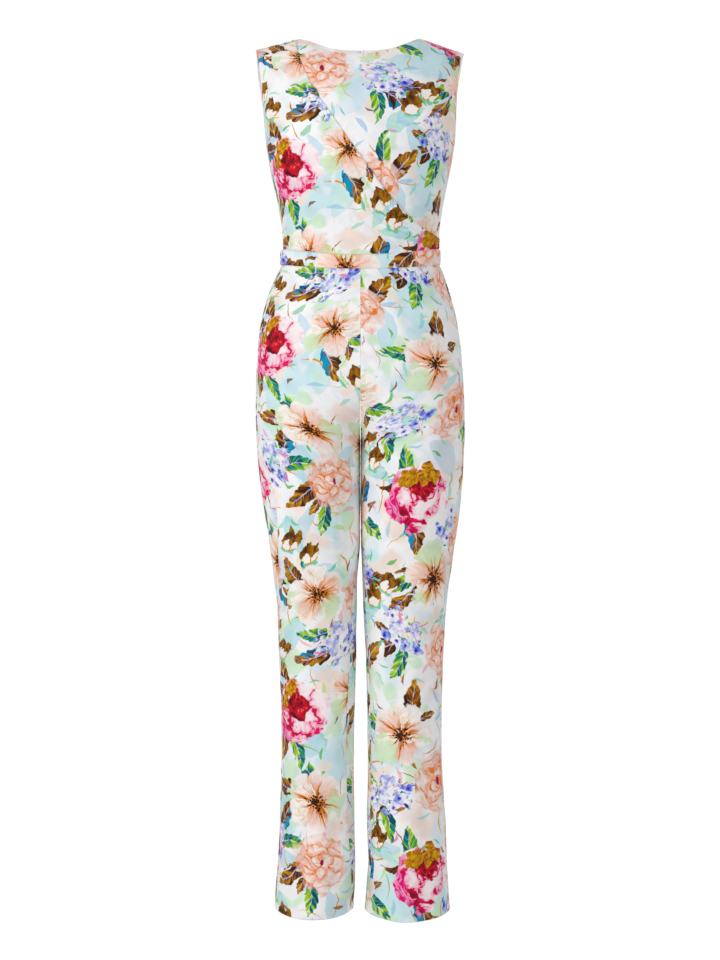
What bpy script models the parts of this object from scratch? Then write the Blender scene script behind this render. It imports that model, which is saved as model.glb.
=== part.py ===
"""A sleeveless wrap-front jumpsuit, hollow, in the shape that it keeps when it is worn.

Metres, +Z up. The origin is midway between the neck ends of the two shoulder seams, where a wearer's
shoulders carry it. The front faces -Y. Left and right are the wearer's: the left is +X.
Heights are given as the distance down from the origin.
"""

import bisect
import math

import bpy
from mathutils import Matrix, Vector

CLOTH = 0.0014  # wall of one layer of cloth
BAND_CLOTH = 0.0018  # wall of the waistband, which is cut double
SEAM_GAP = 0.0003  # between pieces that are sewn together
LAYER_SINK = 0.0021  # how far the under layer of the front lies below the wrap at its edge
LAYER_DEEPER = 0.14  # and how much deeper for each metre that it runs on beneath

# Shoulders and neck
NECK_HALF = 0.101
NECK_DROP_FRONT = 0.036
NECK_DROP_BACK = 0.012
NECK_CURVE_FRONT = 1.7  # exponent of the front neckline, a parabola at 2
NECK_CURVE_BACK = 2.2
SHOULDER_TIP = {"right": (0.178, 0.0190), "left": (0.176, 0.0255)}  # out, down
ROLL_FRONT = 0.118  # height over which the cloth rolls back over the shoulder
ROLL_BACK = 0.050
UNDERARM = 0.178

# Waist seams: how far down at the side, and how much lower at the centre front and back
BODICE_END = (0.3580, 0.0125, -0.0060)
TROUSER_START = (0.3856, 0.0090, -0.0065)
WAIST_SEAMS = (0.345, 0.400)  # the heights between which both lie
WAIST_EASE = 0.080  # height over which the trousers take up that curve

# Crotch and hems
CROTCH = 0.683
CROTCH_CURVE_FRONT = 0.115  # height of the curve that the centre seam makes
CROTCH_CURVE_BACK = 0.135
HEM = {"right": 1.4740, "left": 1.4775}
HEM_DIP = 0.0065  # lower at the front of the leg
HEM_EASE = 0.120

# Zip
ZIP_TAPE_HALF = 0.011
ZIP_TAPE_WALL = 0.0010
ZIP_TOP = 0.0190
ZIP_END = 0.545
SLIDER_DOWN = 0.0330
SLIDER_WIDTH = 0.0052
SLIDER_LENGTH = 0.0090
SLIDER_WALL = 0.0014
SLIDER_STAND = 0.0009  # clear of the cloth under it
BRIDGE_WIDTH = 0.0014
BRIDGE_HEIGHT = 0.0030
BRIDGE_WALL = 0.0007
PULL_LENGTH = 0.0200
PULL_WIDTH = 0.0052
PULL_WALL = 0.0009
PULL_EYE = 0.0032
PULL_TILT = 26.0  # from straight down, where the tab lies against the upper back
WIRE = 0.0004  # radius of the hook and the eye

COLOURS = {  # red, green, blue, metallic, roughness
    "cloth": (0.86, 0.82, 0.78, 0.0, 0.55),
    "tape": (0.88, 0.88, 0.86, 0.0, 0.70),
    "metal": (0.78, 0.78, 0.80, 1.0, 0.30),
}


def table(columns, *rows):
    """A dictionary that holds one list for each named column."""
    return {name: [row[i] for row in rows] for i, name in enumerate(columns.split())}


# The bodice as rings. Above the underarm a ring's half width is that of the body that it would go
# round, and the armhole cuts it. Square is the exponent of the ring: 2 is an ellipse.
BODICE = table(
    "down right left front back square",
    (0.000, 0.1880, 0.1880, 0.094, 0.084, 2.2),
    (0.060, 0.1815, 0.1815, 0.106, 0.092, 2.3),
    (0.090, 0.1760, 0.1760, 0.113, 0.097, 2.4),
    (0.115, 0.1722, 0.1722, 0.118, 0.101, 2.5),
    (0.140, 0.1686, 0.1686, 0.122, 0.103, 2.5),
    (0.158, 0.1648, 0.1648, 0.124, 0.105, 2.5),
    (0.170, 0.1621, 0.1621, 0.126, 0.105, 2.5),
    (0.178, 0.1605, 0.1600, 0.126, 0.105, 2.5),
    (0.205, 0.1565, 0.1560, 0.127, 0.104, 2.5),
    (0.240, 0.1500, 0.1490, 0.124, 0.102, 2.4),
    (0.270, 0.1428, 0.1428, 0.117, 0.099, 2.3),
    (0.300, 0.1370, 0.1378, 0.108, 0.096, 2.2),
    (0.330, 0.1328, 0.1342, 0.099, 0.093, 2.1),
    (0.372, 0.1310, 0.1338, 0.094, 0.090, 2.1),
)
# Where the armholes cut the front and the back, outwards from the middle
ARMHOLE = table(
    "down front_right back_right front_left back_left",
    (0.0190, 0.1780, 0.1780, 0.1760, 0.1760),
    (0.0255, 0.1773, 0.1779, 0.1760, 0.1760),
    (0.036, 0.1756, 0.1775, 0.1715, 0.1738),
    (0.053, 0.1718, 0.1766, 0.1675, 0.1715),
    (0.070, 0.1685, 0.1748, 0.1645, 0.1688),
    (0.090, 0.1658, 0.1716, 0.1626, 0.1662),
    (0.115, 0.1642, 0.1672, 0.1614, 0.1630),
    (0.135, 0.1630, 0.1646, 0.1609, 0.1614),
    (0.158, 0.1616, 0.1620, 0.1606, 0.1607),
    (0.178, 0.1605, 0.1605, 0.1600, 0.1600),
)
# The free edge of the wrap. Across is -1 at the right edge of the front and 1 at the left one.
WRAP_EDGE = table(
    "across down",
    (-0.624, 0.0026),
    (-0.560, 0.0580),
    (-0.474, 0.0963),
    (-0.329, 0.1328),
    (-0.151, 0.1755),
    (0.032, 0.2162),
    (0.255, 0.2597),
    (0.493, 0.2958),
    (0.731, 0.3217),
    (1.000, 0.3400),
)
WRAP_START = -0.624  # where it leaves the right shoulder seam
# Extra columns where the edge is steep
STEEP_COLUMNS = (-0.6215, -0.616, -0.607, -0.593, -0.573, -0.545, -0.510, -0.470)
UNDER_START = -0.720  # how far the under layer runs on beneath it
UNDER_LAP = 0.026
PLEATS = 4
PLEAT_HEIGHT = 0.0022
PLEAT_REACH = (-0.10, 0.70)  # across: where the pleats fade in, and where they are full

# The waistband's own ring, and how its edges turn in to the rings above and below it
BAND = {"right": 0.1364, "left": 0.1360, "front": 0.0968, "back": 0.0938, "square": 2.1}
BAND_PROFILE = table(
    "fall stand",
    (0.00, 0.00),
    (0.07, 0.95),
    (0.50, 1.15),
    (0.93, 0.95),
    (1.00, 0.00),
)

# The trousers as rings. Outer is the half width to the side of the leg, middle the leg's own
# centre line above the crotch, inner the edge beside the other leg below it.
OUTER = table(
    "down right left",
    (0.3790, 0.1330, 0.1330),
    (0.3880, 0.1356, 0.1356),
    (0.4012, 0.1420, 0.1415),
    (0.4182, 0.1496, 0.1472),
    (0.4352, 0.1565, 0.1525),
    (0.4607, 0.1640, 0.1600),
    (0.4947, 0.1708, 0.1662),
    (0.5457, 0.1760, 0.1720),
    (0.6137, 0.1778, 0.1762),
    (0.6647, 0.1776, 0.1776),
    (0.6987, 0.1754, 0.1762),
    (0.7497, 0.1708, 0.1735),
    (0.8007, 0.1640, 0.1690),
    (0.8517, 0.1560, 0.1612),
    (0.8857, 0.1508, 0.1560),
    (0.9197, 0.1466, 0.1513),
    (0.9537, 0.1424, 0.1470),
    (0.9877, 0.1402, 0.1438),
    (1.0557, 0.1384, 0.1408),
    (1.1237, 0.1354, 0.1382),
    (1.1917, 0.1340, 0.1380),
    (1.2597, 0.1352, 0.1403),
    (1.3277, 0.1371, 0.1442),
    (1.3957, 0.1403, 0.1472),
    (1.4297, 0.1432, 0.1490),
    (1.4840, 0.1458, 0.1522),
)
MIDDLE = table(
    "down out",
    (0.379, 0.00015),
    (0.410, 0.003),
    (0.440, 0.011),
    (0.500, 0.032),
    (0.560, 0.054),
    (0.620, 0.074),
    (0.683, 0.08885),
)
INNER = table(
    "down right left",
    (0.683, 0.00015, 0.00015),
    (0.780, 0.00040, 0.00040),
    (0.850, 0.00080, 0.00080),
    (0.885, 0.0028, 0.0022),
    (0.920, 0.0060, 0.0034),
    (0.990, 0.0070, 0.0060),
    (1.056, 0.0076, 0.0095),
    (1.124, 0.0093, 0.0112),
    (1.192, 0.0112, 0.0126),
    (1.260, 0.0112, 0.0122),
    (1.328, 0.0102, 0.0112),
    (1.396, 0.0092, 0.0132),
    (1.430, 0.0096, 0.0108),
    (1.484, 0.0122, 0.0064),
)
DEPTH = table(
    "down front back square",
    (0.379, 0.0940, 0.0905, 2.1),
    (0.410, 0.0985, 0.0990, 2.1),
    (0.450, 0.1065, 0.1120, 2.2),
    (0.500, 0.1130, 0.1270, 2.3),
    (0.550, 0.1145, 0.1340, 2.3),
    (0.600, 0.1120, 0.1330, 2.2),
    (0.650, 0.1050, 0.1220, 2.1),
    (0.683, 0.0990, 0.1120, 2.0),
    (0.750, 0.0905, 0.0980, 2.0),
    (0.850, 0.0800, 0.0860, 2.0),
    (0.950, 0.0725, 0.0775, 2.0),
    (1.056, 0.0670, 0.0710, 2.0),
    (1.200, 0.0645, 0.0710, 2.0),
    (1.330, 0.0660, 0.0715, 2.0),
    (1.484, 0.0710, 0.0725, 2.0),
)
# How far round to the front the seams lie, in degrees from the widest point of the leg
SEAM_TURN = table(
    "down side_right side_left inner_right inner_left",
    (0.379, 14, 12, 0, 0),
    (0.450, 16, 12, 0, 0),
    (0.560, 11, 10, 0, 0),
    (0.640, 13, 9, 0, 0),
    (0.683, 22, 12, 0, 0),
    (0.750, 40, 20, 4, 3),
    (0.800, 43, 28, 8, 6),
    (0.851, 38, 31, 14, 10),
    (0.920, 28, 28, 22, 14),
    (0.980, 17, 20, 27, 17),
    (1.056, 12, 15, 32, 19),
    (1.160, 12, 13, 37, 22),
    (1.330, 14, 13, 33, 21),
    (1.400, 14, 13, 26, 20),
    (1.484, 12, 12, 16, 18),
)
# Soft folds that run down the legs. Turn is where round the leg, from its outer side by the front,
# drift how far it moves on the way down, spread its half width in degrees, rise in metres.
FOLDS = {
    "right": table(
        "turn start end drift spread rise",
        (60, 0.640, 1.010, -8, 15, -0.0034),
        (86, 0.700, 1.180, 4, 15, 0.0020),
        (128, 0.560, 0.960, 14, 13, -0.0036),
        (112, 0.930, 1.230, 16, 14, -0.0024),
        (66, 1.080, 1.470, 8, 15, -0.0026),
        (96, 1.180, 1.474, -4, 13, 0.0022),
        (126, 1.220, 1.474, -6, 12, -0.0024),
        (-50, 0.640, 0.980, -6, 15, -0.0040),
        (-96, 0.660, 0.940, -14, 14, -0.0038),
        (-80, 0.960, 1.330, 8, 15, -0.0028),
        (-124, 1.000, 1.460, 6, 15, -0.0026),
        (-52, 1.180, 1.474, 8, 14, 0.0022),
    ),
    "left": table(
        "turn start end drift spread rise",
        (56, 0.660, 0.960, -6, 15, -0.0030),
        (84, 0.760, 1.240, -4, 14, 0.0018),
        (124, 0.540, 0.980, 18, 13, -0.0040),
        (106, 0.980, 1.300, 12, 14, -0.0026),
        (60, 1.120, 1.477, 6, 15, -0.0028),
        (90, 1.230, 1.477, 6, 13, 0.0024),
        (132, 1.160, 1.477, -10, 12, -0.0024),
        (-46, 0.650, 0.960, -8, 15, -0.0038),
        (-92, 0.660, 0.960, -16, 14, -0.0040),
        (-76, 0.980, 1.300, 6, 15, -0.0026),
        (-120, 1.020, 1.450, 8, 15, -0.0028),
        (-58, 1.200, 1.477, 6, 14, 0.0020),
    ),
}
# Drag lines on the bodice: a line across each panel, in the same terms as the wrap's edge.
DRAGS = table(
    "face across down end_across end_down spread rise",
    ("front", -0.86, 0.190, -0.40, 0.262, 0.014, -0.0018),
    ("front", -0.90, 0.262, -0.30, 0.322, 0.013, 0.0016),
    ("front", 0.90, 0.188, 0.52, 0.246, 0.014, -0.0018),
    ("front", 0.62, 0.060, 0.36, 0.150, 0.016, 0.0014),
    ("back", -0.88, 0.200, -0.42, 0.290, 0.015, -0.0020),
    ("back", 0.86, 0.205, 0.46, 0.286, 0.015, -0.0020),
    ("back", -0.55, 0.300, -0.20, 0.345, 0.013, 0.0016),
    ("back", 0.58, 0.305, 0.18, 0.342, 0.013, 0.0016),
)

FRONT_COLUMNS = 20
HALF_BACK_COLUMNS = 10
# The rows of a bodice panel, as shares of its height from the top: closest together where it rolls
# over the shoulder and at the bottom of the armhole
ROW_SHARES = (
    [0.0, 0.003, 0.0135, 0.032, 0.062, 0.106, 0.165, 0.236, 0.307, 0.366]
    + [0.407, 0.437, 0.457, 0.469, 0.516, 0.605, 0.723, 0.855, 1.0]
)
TROUSER_FRONT_COLUMNS = 13
TROUSER_BACK_COLUMNS = 15
TROUSER_LEVELS = (
    [0.3856, 0.407, 0.434, 0.465, 0.500, 0.540, 0.577, 0.608, 0.634, 0.654, 0.668, 0.678]
    + [0.683, 0.692, 0.710, 0.740, 0.780, 0.825, 0.872, 0.920, 0.968, 1.018, 1.072, 1.128]
    + [1.184, 1.240, 1.296, 1.350, 1.400, 1.442, 1.474]
)


# Curves through the tables


def read(columns, name, key, by="down"):
    """The value of a column at a key, on a smooth curve that doesn't overshoot the rows."""
    keys, values = columns[by], columns[name]
    if key <= keys[0]:
        return values[0]
    if key >= keys[-1]:
        return values[-1]
    i = bisect.bisect_right(keys, key) - 1
    steps = [(values[k + 1] - values[k]) / (keys[k + 1] - keys[k]) for k in range(len(keys) - 1)]

    def slope(k):
        if k in (0, len(keys) - 1):
            return steps[min(k, len(steps) - 1)]
        before, after = steps[k - 1], steps[k]
        return 2 * before * after / (before + after) if before * after > 0 else 0.0

    width = keys[i + 1] - keys[i]
    t = (key - keys[i]) / width
    return (
        values[i] * (1 + 2 * t) * (1 - t) ** 2
        + slope(i) * width * t * (1 - t) ** 2
        + values[i + 1] * t**2 * (3 - 2 * t)
        - slope(i + 1) * width * t**2 * (1 - t)
    )


def ease(t):
    """0 to 1, level at both ends."""
    t = min(1.0, max(0.0, t))
    return t * t * (3 - 2 * t)


def side_of(x):
    return "left" if x >= 0 else "right"


# Bodice


def edge_width(across, down, face):
    """How far out the panel reaches at this height: to the armhole, or to the side seam."""
    side = side_of(across)
    if down >= UNDERARM:
        return read(BODICE, side, down)
    return read(ARMHOLE, f"{face}_{side}", down)


def shoulder_down(x):
    out, fall = SHOULDER_TIP[side_of(x)]
    return fall * max(0.0, abs(x) - NECK_HALF) / (out - NECK_HALF)


def top_down(across, face):
    """The neckline and, beyond it, the shoulder seam."""
    x = across * SHOULDER_TIP[side_of(across)][0]
    if abs(x) >= NECK_HALF:
        return shoulder_down(x)
    drop, curve = (
        (NECK_DROP_FRONT, NECK_CURVE_FRONT) if face == "front" else (NECK_DROP_BACK, NECK_CURVE_BACK)
    )
    return drop * (1 - (abs(x) / NECK_HALF) ** curve)


def seam_down(seam, across, face):
    side, front, back = seam
    return side + (front if face == "front" else back) * (1 - across * across)


def drag(face, across, down):
    """The rise of the drag lines at this place."""
    total = 0.0
    for i, of_face in enumerate(DRAGS["face"]):
        if of_face != face:
            continue
        width = BODICE["left"][-1]
        start = Vector((DRAGS["across"][i] * width, DRAGS["down"][i]))
        end = Vector((DRAGS["end_across"][i] * width, DRAGS["end_down"][i]))
        along = end - start
        place = Vector((across * width, down)) - start
        t = place.dot(along) / along.length_squared
        if not 0 < t < 1:
            continue
        off = (place - along * t).length / DRAGS["spread"][i]
        total += DRAGS["rise"][i] * math.sin(math.pi * t) ** 2 * math.exp(-off * off)
    return total


def bodice_point(across, down, face):
    """A point of the smooth outer surface."""
    x = across * edge_width(across, down, face)
    half = read(BODICE, side_of(across), down)
    square = read(BODICE, "square", down)
    round_off = (1 - min(1.0, abs(x) / half) ** square) ** (1 / square)
    height = ROLL_FRONT if face == "front" else ROLL_BACK
    fall = min(1.0, max(0.0, down - shoulder_down(x)) / height)
    roll = math.sqrt(1 - (1 - fall) ** 2)
    depth = read(BODICE, face, down) * round_off * roll + SEAM_GAP / 2
    return Vector((x, -depth if face == "front" else depth, -down))


def wrap_edge(across):
    return read(WRAP_EDGE, "down", across, by="across")


def spread_columns(start, end, count, stops=()):
    """Positions across, closer together near the sides, with a column at each stop."""
    turns = [math.asin(across) for across in (start, *stops, end)]
    total = turns[-1] - turns[0]
    found = [turns[0]]
    for a, b in zip(turns, turns[1:]):
        parts = max(1, round(count * (b - a) / total))
        found += [a + (b - a) * (k + 1) / parts for k in range(parts)]
    return [math.sin(turn) for turn in found]


def bodice_panel(name, face, columns, heights, rise):
    """A panel through the given heights of each column, lowest first."""
    tall = len(heights(columns[0]))
    places = [[(across, heights(across)[k]) for across in columns] for k in range(tall)]
    smooth = [[bodice_point(across, down, face) for across, down in row] for row in places]
    grid = []
    for i, row in enumerate(places):
        grid.append([])
        for j, (across, down) in enumerate(row):
            normal, _ = inward(smooth, i, j)
            grid[-1].append(smooth[i][j] - normal * rise(across, down, i / (tall - 1)))
    cloth_panel(name, grid, CLOTH)


def spread_rows(low, top, evenly=0.0):
    """Heights of the rows between these two, lowest first. Evenly 1 leaves them equally far apart."""
    count = len(ROW_SHARES) - 1
    shares = [share * (1 - evenly) + evenly * k / count for k, share in enumerate(ROW_SHARES)]
    return [top + (low - top) * share for share in shares[::-1]]


def waist_down(across, face):
    return seam_down(BODICE_END, across, face) - SEAM_GAP / 2


def front_columns(start):
    """The two layers of the front have the same columns, so that they lie evenly on each other."""
    left = NECK_HALF / SHOULDER_TIP["left"][0]
    stops = [UNDER_START, WRAP_START, *STEEP_COLUMNS, left]
    columns = spread_columns(-1, 1, FRONT_COLUMNS, sorted(stops))
    return [across for across in columns if across > start - 1e-6]


def make_wrap():
    """The over layer: full height at the right, and down to a pleated corner at the left waist."""

    def heights(across):
        top = top_down(across, "front") if across <= WRAP_START + 1e-6 else wrap_edge(across)
        return spread_rows(waist_down(across, "front"), top, ease((across + 0.4) / 0.8))

    def rise(across, down, t):
        start, full = PLEAT_REACH
        reach = ease((across - start) / (full - start)) * (1 - 0.55 * ease((across - 0.86) / 0.14))
        fold = 0.5 - 0.5 * math.cos(2 * math.pi * PLEATS * t)
        return PLEAT_HEIGHT * reach * fold * ease(6 * t) + drag("front", across, down)

    bodice_panel("bodice_front_wrap", "front", front_columns(-1), heights, rise)


def make_under():
    """The under layer: it runs on beneath the wrap's edge, sunk by the thickness of both."""

    def edge(across):
        return max(wrap_edge(across), top_down(across, "front") + 0.003)

    def heights(across):
        top, low = top_down(across, "front"), edge(across)
        lap = min(UNDER_LAP, 0.6 * (waist_down(across, "front") - low))
        if across < WRAP_START - 1e-6:
            lap += 0.050 * (across - UNDER_START) / (WRAP_START - UNDER_START)
        return spread_rows(low + lap, top)

    def rise(across, down, t):
        beneath = max(0.0, down - edge(across)) * 0.8
        aside = max(0.0, WRAP_START - across) * SHOULDER_TIP["right"][0]
        near = ease((down - edge(across) + 0.030) / 0.026)
        if down < 0.12:
            near = max(near, ease((WRAP_START + 0.15 - across) / 0.13))
        deeper = LAYER_DEEPER * max(beneath, aside) + 0.0019 * ease((across - 0.35) / 0.2)
        return drag("front", across, down) - (LAYER_SINK + deeper) * near

    bodice_panel("bodice_front_under", "front", front_columns(UNDER_START), heights, rise)


def make_back(side):
    sign = 1 if side == "left" else -1
    neck = NECK_HALF / SHOULDER_TIP[side][0]
    centre = SEAM_GAP / 2 / SHOULDER_TIP[side][0]
    columns = [sign * across for across in spread_columns(centre, 1, HALF_BACK_COLUMNS, [neck])]

    def heights(across):
        return spread_rows(waist_down(across, "back"), top_down(across, "back"))

    bodice_panel(
        f"bodice_back_{side}",
        "back",
        columns[::-1] if side == "left" else columns,
        heights,
        lambda across, down, t: drag("back", across, down),
    )


# Waistband


def band_point(across, fall, stand, face):
    """A point of the waistband: fall runs from its top edge to its lower one."""
    high = seam_down(BODICE_END, across, face) + SEAM_GAP / 2
    low = seam_down(TROUSER_START, across, face) - SEAM_GAP / 2
    side = side_of(across)

    def ring(half, depth, square):
        round_off = (1 - min(1.0, abs(across)) ** square) ** (1 / square)
        return Vector((across * half, depth * round_off))

    above = ring(read(BODICE, side, high), read(BODICE, face, high), read(BODICE, "square", high))
    below = ring(read(OUTER, side, low), read(DEPTH, face, low), read(DEPTH, "square", low))
    own = ring(BAND[side], BAND[face], BAND["square"])
    plan = above.lerp(below, fall).lerp(own, stand)
    depth = plan.y + SEAM_GAP / 2
    return Vector((plan.x, -depth if face == "front" else depth, -(high + (low - high) * fall)))


def make_band(name, face, columns):
    grid = [
        [band_point(across, fall, stand, face) for across in columns]
        for fall, stand in zip(BAND_PROFILE["fall"][::-1], BAND_PROFILE["stand"][::-1])
    ]
    cloth_panel(name, grid, BAND_CLOTH)


# Trousers


def crotch_share(down, curve):
    """The centre seam's depth as a share of the leg's: full above the curve, 0 at the crotch."""
    t = min(1.0, max(0.0, (down - CROTCH + curve) / curve))
    return max(0.0, 1 - t * t) ** 0.68


def leg_sizes(side, down, front):
    """Centre line, outer and inner half widths, depth and squareness of the leg at a height."""
    outer = read(OUTER, side, down)
    depth = read(DEPTH, "front" if front else "back", down)
    square = read(DEPTH, "square", down)
    if down >= CROTCH:
        inner = read(INNER, side, down)
        middle = (outer + inner) / 2
        return middle, outer - middle, middle - inner, depth, square
    middle = read(MIDDLE, "out", down)
    share = crotch_share(down, CROTCH_CURVE_FRONT if front else CROTCH_CURVE_BACK)
    inner_half = middle / math.sqrt(max(1e-4, 1 - share * share))
    return middle, outer - middle, inner_half, depth, square


def last_turn(side, down, front):
    """How far round the leg's ring goes: a half turn, or to the centre seam above the crotch."""
    if down >= CROTCH:
        return 180.0
    middle, _, inner_half, _, _ = leg_sizes(side, down, front)
    return 90 + math.degrees(math.asin(min(1.0, max(0.0, (middle - SEAM_GAP / 2) / inner_half))))


def fold_rise(side, turn, down):
    folds, total = FOLDS[side], 0.0
    for i, start in enumerate(folds["start"]):
        t = (down - start) / (folds["end"][i] - start)
        if not 0 < t < 1:
            continue
        off = (turn - folds["turn"][i] - folds["drift"][i] * t) / folds["spread"][i]
        open_ended = folds["end"][i] > HEM["right"] - 0.03 and t > 0.5
        swell = 1.0 if open_ended else math.sin(math.pi * t) ** 2
        total += folds["rise"][i] * swell * math.exp(-off * off)
    return total


def leg_point(side, turn, level):
    """A point of the leg's outer surface. Turn goes from the outer side: by the front above 0."""
    front = 0 <= turn <= 180 or turn < -180
    bend = math.sin(math.radians(turn))
    waist = TROUSER_START[1] if front else TROUSER_START[2]
    hem = HEM[side] - HEM["right"] + HEM_DIP * (max(0.0, bend) ** 2)
    down = level
    down += waist * bend * bend * (1 - ease((level - TROUSER_START[0]) / WAIST_EASE))
    down += hem * ease((level - HEM["right"] + HEM_EASE) / HEM_EASE)
    middle, outer_half, inner_half, depth, square = leg_sizes(side, level, front)
    angle = math.radians(turn)
    c, s = math.cos(angle), math.sin(angle)
    if c >= 0:
        x = middle + outer_half * max(0.0, c) ** (2 / square)
    else:
        x = middle + inner_half * c
    y = -math.copysign(depth * abs(s) ** (2 / square if c >= 0 else 1), s)
    flat = Vector((c * depth, -s * outer_half)).normalized()
    rise = fold_rise(side, turn if turn >= -180 else turn + 360, level)
    centre_guard = ease((x - SEAM_GAP) / 0.02) if level < CROTCH + 0.2 else 1.0
    x += flat.x * rise * centre_guard
    y += flat.y * rise
    return Vector((x if side == "left" else -x, y, -down))


def leg_inward(side, turn, level):
    """The direction into the leg from its surface."""
    above, below = level - 0.004, level + 0.004
    if level < CROTCH:
        below = min(below, CROTCH - 1e-5)
    else:
        above = max(above, CROTCH)
    across = leg_point(side, turn + 1.5, level) - leg_point(side, turn - 1.5, level)
    down = leg_point(side, turn, below) - leg_point(side, turn, above)
    found = across.cross(down).normalized()
    return found if side == "right" else -found


def make_leg(side, face):
    grid, inwards = [], []
    for level in TROUSER_LEVELS[::-1]:
        side_turn = read(SEAM_TURN, "side_" + side, level)
        inner_turn = read(SEAM_TURN, "inner_" + side, level)
        depth = leg_sizes(side, level, face == "front")[3]
        gap = math.degrees(SEAM_GAP / 2 / depth)
        if face == "front":
            start = side_turn + gap
            end = last_turn(side, level, True) - (inner_turn + gap if level >= CROTCH else 0)
            count = TROUSER_FRONT_COLUMNS
        else:
            start = side_turn - gap
            end = -last_turn(side, level, False) - (inner_turn - gap if level >= CROTCH else 0)
            count = TROUSER_BACK_COLUMNS
        turns = [start + (end - start) * k / count for k in range(count + 1)]
        grid.append([leg_point(side, turn, level) for turn in turns])
        inwards.append([leg_inward(side, turn, level) for turn in turns])
    if (side == "right") == (face == "back"):
        grid = [row[::-1] for row in grid]
        inwards = [row[::-1] for row in inwards]
    cloth_panel(f"trouser_{face}_{side}", grid, CLOTH, inwards=inwards)


# Zip


def back_depth(x, down):
    """How far back the cloth's outer face is, close to the centre line."""
    end = seam_down(BODICE_END, 0, "back")
    start = seam_down(TROUSER_START, 0, "back")
    if down < end:
        return bodice_point(x / edge_width(0.1, down, "back"), down, "back").y
    if down < start:
        return BAND["back"] + CLOTH - BAND_CLOTH - 0.0074
    middle, _, inner_half, depth, _ = leg_sizes("left", down, False)
    return depth * math.sqrt(1 - min(1.0, ((middle - x) / inner_half) ** 2)) if x < middle else depth


def tape_depth(down):
    """The tape's outer face: behind the cloth on either side of the seam, and behind the band."""
    near = [back_depth(x, level) for x in (0.0, ZIP_TAPE_HALF) for level in (down - 0.004, down + 0.004)]
    return min(near) - CLOTH - 2.5 * SEAM_GAP


def make_tape():
    rows = 34
    grid = []
    for k in range(rows + 1):
        t = 1 - (1 - k / rows) ** 1.35
        down = ZIP_END + (ZIP_TOP - ZIP_END) * t
        y = tape_depth(down)
        grid.append([Vector((x, y, -down)) for x in (ZIP_TAPE_HALF, 0.0, -ZIP_TAPE_HALF)])
    cloth_panel("zip_tape", grid, ZIP_TAPE_WALL, "tape")


def back_slope(down):
    """The lean of the cloth's face at the centre back, in radians from upright."""
    step = 0.001
    return math.atan2(back_depth(0, down + step) - back_depth(0, down - step), 2 * step)


def zip_frame():
    """Where the slider sits on the cloth, with its own +Y pointing out and its +Z up the zip."""
    turn = Matrix.Rotation(back_slope(SLIDER_DOWN), 4, "X")
    place = Vector((0, back_depth(0, SLIDER_DOWN), -SLIDER_DOWN))
    return Matrix.Translation(place) @ turn


def make_slider():
    """A plate with a bridge on it, under which the pull's eye turns."""
    frame = zip_frame()
    bpy.ops.mesh.primitive_cube_add(size=1)
    plate = bpy.context.object
    plate.data.transform(Matrix.Diagonal((SLIDER_WIDTH, SLIDER_WALL, SLIDER_LENGTH, 1)))
    plate.matrix_world = frame @ Matrix.Translation((0, SLIDER_STAND + SLIDER_WALL / 2, 0))
    edges = plate.modifiers.new("Rounded edges", "BEVEL")
    edges.width = 0.0004
    edges.segments = 2
    # The bridge is an arch in the plane of the zip.
    reach, top = SLIDER_LENGTH * 0.34, BRIDGE_HEIGHT
    outer = [(-reach, -0.0006), (-reach, top * 0.6), (-reach * 0.6, top), (reach * 0.6, top)]
    outer += [(reach, top * 0.6), (reach, -0.0006)]
    hole = reach - BRIDGE_WALL
    inner = [(hole, -0.0006), (hole, top * 0.55), (hole * 0.6, top - BRIDGE_WALL)]
    inner += [(-hole * 0.6, top - BRIDGE_WALL), (-hole, top * 0.55), (-hole, -0.0006)]
    outline = outer + inner
    base = frame @ Matrix.Translation((0, SLIDER_STAND + SLIDER_WALL, 0))
    bridge = extruded("slider_bridge", [outline], BRIDGE_WIDTH, base)
    bridge = as_mesh(bridge)
    join = plate.modifiers.new("Bridge", "BOOLEAN")
    join.operation = "UNION"
    join.object = bridge
    hide_helper(bridge)
    finish_object(plate, "zip_slider", "metal")


def extruded(name, outlines, width, frame):
    """Closed outlines in the frame's YZ plane, filled and extruded along its X."""
    curve = bpy.data.curves.new(name, "CURVE")
    curve.dimensions = "2D"
    curve.fill_mode = "BOTH"
    curve.extrude = width / 2
    for outline in outlines:
        spline = curve.splines.new("POLY")
        spline.points.add(len(outline) - 1)
        for point, (along, out) in zip(spline.points, outline):
            point.co = (along, out, 0, 1)
        spline.use_cyclic_u = True
    made = bpy.data.objects.new(name, curve)
    bpy.context.scene.collection.objects.link(made)
    # The outline's first axis runs up the frame's Z, its second out along Y.
    axes = Matrix(((0, 0, 1, 0), (0, 1, 0, 0), (1, 0, 0, 0), (0, 0, 0, 1)))
    flip = Matrix.Diagonal((1, 1, -1, 1))
    made.matrix_world = frame @ axes @ flip
    return made


def as_mesh(source):
    """The curve as a welded mesh object in the same place."""
    bpy.context.view_layer.update()
    graph = bpy.context.evaluated_depsgraph_get()
    mesh = bpy.data.meshes.new_from_object(source.evaluated_get(graph))
    made = bpy.data.objects.new(source.name + "_mesh", mesh)
    made.matrix_world = source.matrix_world.copy()
    bpy.context.scene.collection.objects.link(made)
    weld = made.modifiers.new("Weld", "WELD")
    weld.merge_threshold = 1e-6
    bpy.data.objects.remove(source)
    return made


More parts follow.
